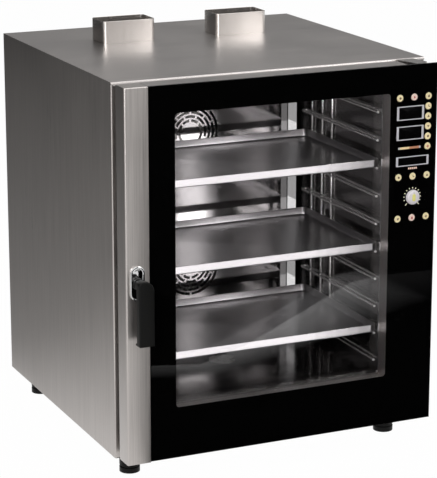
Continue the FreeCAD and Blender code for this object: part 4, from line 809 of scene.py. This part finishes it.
def screw_tree():
    """Screw heads on a mesh's points: a washer and a chamfered head."""
    tree, sockets, given = open_tree(
        "screw_heads", [("Head radius", "Float"), ("Head height", "Float"), ("Facing", "Vector")])
    radius, height = given["Head radius"], given["Head height"]
    rim, neck, crown = [
        add(tree, "ShaderNodeMath", {0: whole, 1: share}, operation="MULTIPLY").outputs["Value"]
        for whole, share in ((height, WASHER_SHARE), (radius, NECK_SHARE), (radius, CROWN_SHARE))]
    both = add(tree, "GeometryNodeJoinGeometry")
    for sides, foot, top, rise in ((WASHER_SIDES, radius, radius, rim), (HEAD_SIDES, neck, crown, height)):
        part = add(tree, "GeometryNodeMeshCone",
                   {"Vertices": sides, "Radius Bottom": foot, "Radius Top": top, "Depth": rise})
        tree.links.new(part.outputs["Mesh"], both.inputs["Geometry"])
    turn = add(tree, "FunctionNodeEulerToRotation", {"Euler": given["Facing"]})
    heads = add(tree, "GeometryNodeInstanceOnPoints",
                {"Points": given["Geometry"], "Instance": both.outputs["Geometry"],
                 "Rotation": turn.outputs["Rotation"]})
    close_tree(tree, given, heads)
    return tree, sockets


def bead_tree():
    """Small flattened weld beads on a mesh's points."""
    tree, sockets, given = open_tree("weld_beads", [("Bead radius", "Float"), ("Bead shape", "Vector")])
    ball = add(tree, "GeometryNodeMeshIcoSphere",
               {"Radius": given["Bead radius"], "Subdivisions": BEAD_STEPS})
    soft = add(tree, "GeometryNodeSetShadeSmooth", {"Geometry": ball.outputs["Mesh"]})
    beads = add(tree, "GeometryNodeInstanceOnPoints",
                {"Points": given["Geometry"], "Instance": soft.outputs["Geometry"],
                 "Scale": given["Bead shape"]})
    close_tree(tree, given, beads)
    return tree, sockets


def scattered(name, kind, points, values, body):
    """Run a node tree on a row of points in millimetres and keep its result as a plain mesh piece."""
    tree, sockets = kind
    mesh = bpy.data.meshes.new(name + "_points")
    mesh.from_pydata([tuple(axis * MM for axis in point) for point in points], [], [])
    made = linked(name, mesh)
    modifier = made.modifiers.new("repeat", "NODES")
    modifier.node_group = tree
    for label, value in values.items():
        modifier[sockets[label]] = value
    bpy.context.view_layer.update()
    solid = bpy.data.meshes.new_from_object(made.evaluated_get(bpy.context.evaluated_depsgraph_get()))
    made.modifiers.remove(modifier)
    made.data = solid
    solid.name = name
    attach(made, body)


TO_BACK = (math.radians(-90), 0.0, 0.0)
TO_FRONT = (math.radians(90), 0.0, 0.0)
SCREW_MARGIN = 14
SIDE_SCREW_LEVELS = range(90, 960, 142)
END_SCREW_PLACES = range(-270, 271, 135)
BAFFLE_PLACES, BAFFLE_LEVELS = (-205, 205), (205, 870)
RAIL_END, RAIL_FRONT = 293.65, -310.5
FIRST_RAIL, RAIL_PITCH, RAILS = 205, 70, 10

back_low, back_high = corners("back_panel")
screws = screw_tree()
back_screws = [(x, back_high.y, z) for x in (back_low.x + SCREW_MARGIN, back_high.x - SCREW_MARGIN)
               for z in SIDE_SCREW_LEVELS]
back_screws += [(x, back_high.y, z) for x in END_SCREW_PLACES
                for z in (back_low.z + SCREW_MARGIN, back_high.z - SCREW_MARGIN)]
scattered("back_panel_screws", screws, back_screws,
          {"Head radius": 5 * MM, "Head height": 3.2 * MM, "Facing": TO_BACK, "Finish": zinc_screw},
          "cabinet")
baffle_front = corners("fan_baffle")[0].y
baffle_screws = [(x, baffle_front, z) for x in BAFFLE_PLACES for z in BAFFLE_LEVELS]
scattered("baffle_screws", screws, baffle_screws,
          {"Head radius": 6 * MM, "Head height": 4 * MM, "Facing": TO_FRONT, "Finish": zinc_screw},
          "cabinet")
rail_ends = [(side * RAIL_END, RAIL_FRONT, FIRST_RAIL + RAIL_PITCH * level)
             for side in (-1, 1) for level in range(RAILS)]
scattered("rack_weld_beads", bead_tree(), rail_ends,
          {"Bead radius": 3.3 * MM, "Bead shape": (1.0, 1.0, 0.9), "Finish": painted_glint_bead},
          "cabinet")


# Studio, in metres: a white floor that runs out of sight, cards that only reflections see, soft lamps, small
# lamps for light that comes in through the window, and the camera at the photograph's angle

SKY_SHADE = 0.35
FLOOR_HALF = 30.0
FLOOR_GLOW = 0.985


def white_to_sight(tree, shade):
    """White where it is looked at, directly or in metal and glass, and the given shade of light elsewhere."""
    ray = add(tree, "ShaderNodeLightPath")
    seen = ray.outputs["Is Camera Ray"]
    for other in ("Is Glossy Ray", "Is Transmission Ray"):
        both = add(tree, "ShaderNodeMath", {0: seen, 1: ray.outputs[other]}, operation="MAXIMUM")
        seen = both.outputs["Value"]
    return add(tree, "ShaderNodeMapRange", {"Value": seen, "To Min": shade, "To Max": 1.0})


def studio_world():
    """White surroundings that light the object only a little."""
    world = bpy.data.worlds.new("studio")
    bpy.context.scene.world = world
    world.use_nodes = True
    tree = world.node_tree
    tree.nodes.clear()
    level = white_to_sight(tree, SKY_SHADE)
    sky = add(tree, "ShaderNodeBackground", {"Color": linear("FFFFFF"), "Strength": level.outputs["Result"]})
    add(tree, "ShaderNodeOutputWorld", {"Surface": sky.outputs["Background"]})


def studio_floor():
    """A wide white floor, a small share of it matt so that it keeps the object's shadow."""
    far = FLOOR_HALF
    mesh = bpy.data.meshes.new("floor")
    mesh.from_pydata([(-far, -far, 0), (far, -far, 0), (far, far, 0), (-far, far, 0)], [], [(0, 1, 2, 3)])
    floor = linked("floor", mesh)
    made, tree = new_material("floor_white")
    level = white_to_sight(tree, 0.0)
    share = add(tree, "ShaderNodeMath",
                {0: level.outputs["Result"], 1: FLOOR_GLOW}, operation="MULTIPLY")
    matte = add(tree, "ShaderNodeBsdfDiffuse", {"Color": linear("F6F6F6")})
    glow = add(tree, "ShaderNodeEmission", {"Color": linear("FFFFFF"), "Strength": 1.0})
    mixed = add(tree, "ShaderNodeMixShader",
                {"Fac": share.outputs["Value"], 1: matte.outputs["BSDF"], 2: glow.outputs["Emission"]})
    add(tree, "ShaderNodeOutputMaterial", {"Surface": mixed.outputs["Shader"]})
    mesh.materials.append(made)


def studio_card(name, rows):
    """A card that only reflections see, from rows of points with one shade for the row or for each point."""
    count = len(rows[0][0])
    mesh = bpy.data.meshes.new(name)
    faces = [(start, start + 1, start + count + 1, start + count)
             for row in range(len(rows) - 1) for start in range(row * count, row * count + count - 1)]
    mesh.from_pydata([point for points, shades in rows for point in points], [], faces)
    levels = [level for points, shades in rows for level in (shades if len(shades) > 1 else shades * count)]
    mesh.attributes.new("shade", "FLOAT", "POINT").data.foreach_set("value", levels)
    made, tree = new_material(name)
    tone = add(tree, "ShaderNodeAttribute", attribute_name="shade")
    glow = add(tree, "ShaderNodeEmission", {"Color": linear("FFFFFF"), "Strength": tone.outputs["Fac"]})
    add(tree, "ShaderNodeOutputMaterial", {"Surface": glow.outputs["Emission"]})
    mesh.materials.append(made)
    card = linked(name, mesh)
    card.visible_camera = card.visible_diffuse = card.visible_shadow = False


def upright_card(name, line, rows):
    """A card that stands on a line on the floor, from its (height, shade) rows."""
    studio_card(name, [([place + (height,) for place in line], [shade]) for height, shade in rows])


# the dark floor seen in the door glass, with a lit strip that ends in a bent line
SWEEP = ((0.13, -1.2), (0.31, -1.3), (0.6, -1.52), (0.89, -1.75), (1.04, -1.79), (1.3, -1.77), (2.2, -1.75),
         (4.0, -1.72))
SWEEP_START = -1.25
SWEEP_EDGE = -0.004
LIT_SHADES = [0.62, 0.72, 0.79, 0.79, 0.7, 0.13, 0.08, 0.06, 0.05]
LIT_DEPTHS = [0.1, 0.11, 0.15, 0.24, 0.32, 0.3, 0.3, 0.3, 0.3]
DARK_FRONT, DARK_REAR = (-5.3, 7.0), (-0.45, 4.0)
CARD_RISE = 0.004
GLASS_EDGE = Vector((-0.3485, -0.4125))
GLASS_EDGE_RAY = Vector((1.7365, -4.2126))


def mirror_edge(y):
    """Where the floor is mirrored at the glass's left edge: beyond it the steel strip mirrors white floor."""
    return GLASS_EDGE.x + GLASS_EDGE_RAY.x * (y - GLASS_EDGE.y) / GLASS_EDGE_RAY.y


def floor_row(shifts):
    """The bent line moved by a depth at each of its points, starting on the mirrored edge."""
    start = SWEEP_START + shifts[0]
    line = [(x, y + shift, CARD_RISE) for (x, y), shift in zip(SWEEP, shifts[1:])]
    return [(mirror_edge(start), start, CARD_RISE)] + line


def plain_row(y, right):
    """A straight row of as many points, from the mirrored edge to the right."""
    left, steps = mirror_edge(y), len(SWEEP)
    return [(left + (right - left) * step / steps, y, CARD_RISE) for step in range(steps + 1)]


# the line that an upright card stands on, with rows of height and shade; the floor's have depth and shade
BRIGHT_LINE = ((-2.0, -5.5), (7.0, -5.5))
BRIGHT_ROWS = ((0.0, 0.3), (1.3, 0.35), (1.7, 1.5), (3.2, 1.5))
LEFT_FLOOR_SIDES = (-4.5, -0.45)
LEFT_FLOOR_ROWS = ((-0.35, 1.0), (0.0, 0.86), (0.4, 0.62), (0.8, 0.33), (1.4, 0.25), (2.0, 0.22))
LEFT_REAR_LINE = ((-4.5, -0.8), (-4.5, 2.0), (-0.4, 2.0))
LEFT_REAR_ROWS = ((0.0, 0.22), (0.62, 0.09), (0.82, 0.015), (3.4, 0.0))
RIGHT_REAR_LINE = ((-0.4, 3.6), (6.0, 3.6))
RIGHT_REAR_ROWS = ((0.3, 0.25), (4.4, 0.25))


def studio_cards():
    """What steel and glass mirror: a dark floor before the door, a bright front, a dim rear and left side."""
    points = len(SWEEP) + 1
    studio_card("card_front_dark",
                [(plain_row(*DARK_FRONT), [0.0]), (floor_row([SWEEP_EDGE] * points), [0.0]),
                 (floor_row([0.0] * points), LIT_SHADES), (floor_row(LIT_DEPTHS), [0.0]),
                 (plain_row(*DARK_REAR), [0.0])])
    upright_card("card_front_bright", BRIGHT_LINE, BRIGHT_ROWS)
    studio_card("card_floor_left", [([(side, depth, CARD_RISE) for side in LEFT_FLOOR_SIDES], [shade])
                                    for depth, shade in LEFT_FLOOR_ROWS])
    upright_card("card_rear_left", LEFT_REAR_LINE, LEFT_REAR_ROWS)
    upright_card("card_rear_right", RIGHT_REAR_LINE, RIGHT_REAR_ROWS)


def soft_lamp(name, place, way, size, power):
    """A rectangular lamp that shines one way and that the camera doesn't see."""
    data = bpy.data.lights.new(name, "AREA")
    data.shape = "RECTANGLE"
    data.size, data.size_y = size
    data.energy = power
    lamp = linked(name, data)
    lamp.location = place
    lamp.rotation_euler = way.to_track_quat("-Z", "Y").to_euler()
    lamp.visible_camera = False


def glow_lamp(name, place, way, size, glow):
    """A small lamp given by how bright its face is."""
    soft_lamp(name, place, way, size, glow * math.pi * size[0] * size[1])


# name, place, aim, width and power
SOFT_LAMPS = (
    ("lamp_front_left", (-2.6, -3.6, 2.0), (0, -0.3, 0.5), 1.8, 78),
    ("lamp_front_right", (2.4, -3.4, 2.6), (0, 0.2, 1.0), 1.2, 28),
    ("lamp_overhead", (0.3, -0.4, 3.6), (0, 0, 0.6), 4.2, 54),
)
# the bays between the trays: lowest and highest level, and the glow at the window's right and left
WINDOW_BAYS = ((0.194, 0.262, 8.0, 0.25), (0.31, 0.47, 8.8, 0.75), (0.52, 0.68, 8.8, 0.75),
               (0.73, 0.898, 8.8, 0.75))
# middle and width of the lamps in a bay, and how much dimmer the outermost one is
BAY_RIGHT, BAY_EDGE, BAY_LEFT = (0.209, 0.085), (0.263, 0.023), (-0.056, 0.443)
EDGE_SHARE = 0.25
# the light on the trays' front walls, which fades to the right: start, end and glow
TRAY_GLOW = ((-0.29, 0.13, 3.25), (0.13, 0.16, 2.95), (0.16, 0.19, 2.6), (0.19, 0.22, 2.2), (0.22, 0.25, 1.8),
             (0.25, 0.285, 1.4))
TRAY_LAMP_HEIGHT = 0.026
WINDOW_LAMP_Y = -0.3175
# the light on the baffle's right flange: lowest and highest level, and glow
CORNER_GLOW = ((0.18, 0.25, 0.28), (0.25, 0.29, 0.92), (0.29, 0.46, 0.42), (0.46, 0.505, 0.92),
               (0.505, 0.67, 0.42), (0.67, 0.715, 0.92), (0.715, 0.9, 0.42))
CORNER_X, CORNER_Y, CORNER_WIDTH = 0.316, 0.2, 0.05
TO_REAR, TO_LEFT = Vector((0, 1, 0)), Vector((-1, 0, 0))


def studio_lamps():
    """Soft lamps round the object, and small ones inside it, behind the window and beside the baffle."""
    for name, place, aim, width, power in SOFT_LAMPS:
        soft_lamp(name, place, Vector(aim) - Vector(place), (width, width), power)
    for level, (low, high, right_glow, left_glow) in enumerate(WINDOW_BAYS):
        middle = (low + high) / 2
        for label, (x, width), glow in (("right", BAY_RIGHT, right_glow),
                                        ("edge", BAY_EDGE, right_glow * EDGE_SHARE),
                                        ("left", BAY_LEFT, left_glow)):
            glow_lamp("lamp_window_%s_%d" % (label, level), (x, WINDOW_LAMP_Y, middle), TO_REAR,
                      (width, high - low), glow)
    for name in reversed(TRAYS):
        height = sum(corner.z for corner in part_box(name)) / 2
        for left, right, glow in TRAY_GLOW:
            glow_lamp("lamp_%s_%03.0f" % (name, right / MM), ((left + right) / 2, WINDOW_LAMP_Y, height),
                      TO_REAR, (right - left, TRAY_LAMP_HEIGHT), glow)
    for level, (low, high, glow) in enumerate(CORNER_GLOW):
        glow_lamp("lamp_rear_corner_%d" % level, (CORNER_X, CORNER_Y, (low + high) / 2), TO_LEFT,
                  (CORNER_WIDTH, high - low), glow)


CAMERA_PLACE = (-2.085, -4.6251, 1.8298)
CAMERA_DOWN, CAMERA_TURN = 14.312, -24.384
SENSOR_MM, LENS_MM, FRAME_SHIFT = 36.0, 155.56, -0.0502


def photo_camera():
    """The camera at the photograph's place and angle."""
    data = bpy.data.cameras.new("photo_camera")
    data.sensor_width = SENSOR_MM
    data.lens = LENS_MM
    data.shift_y = FRAME_SHIFT
    camera = linked("photo_camera", data)
    camera.location = CAMERA_PLACE
    camera.rotation_euler = (math.radians(90 - CAMERA_DOWN), 0.0, math.radians(CAMERA_TURN))
    bpy.context.scene.camera = camera


for build_studio in (studio_world, studio_floor, studio_cards, studio_lamps, photo_camera):
    build_studio()
bpy.context.scene.view_settings.view_transform = "Standard"
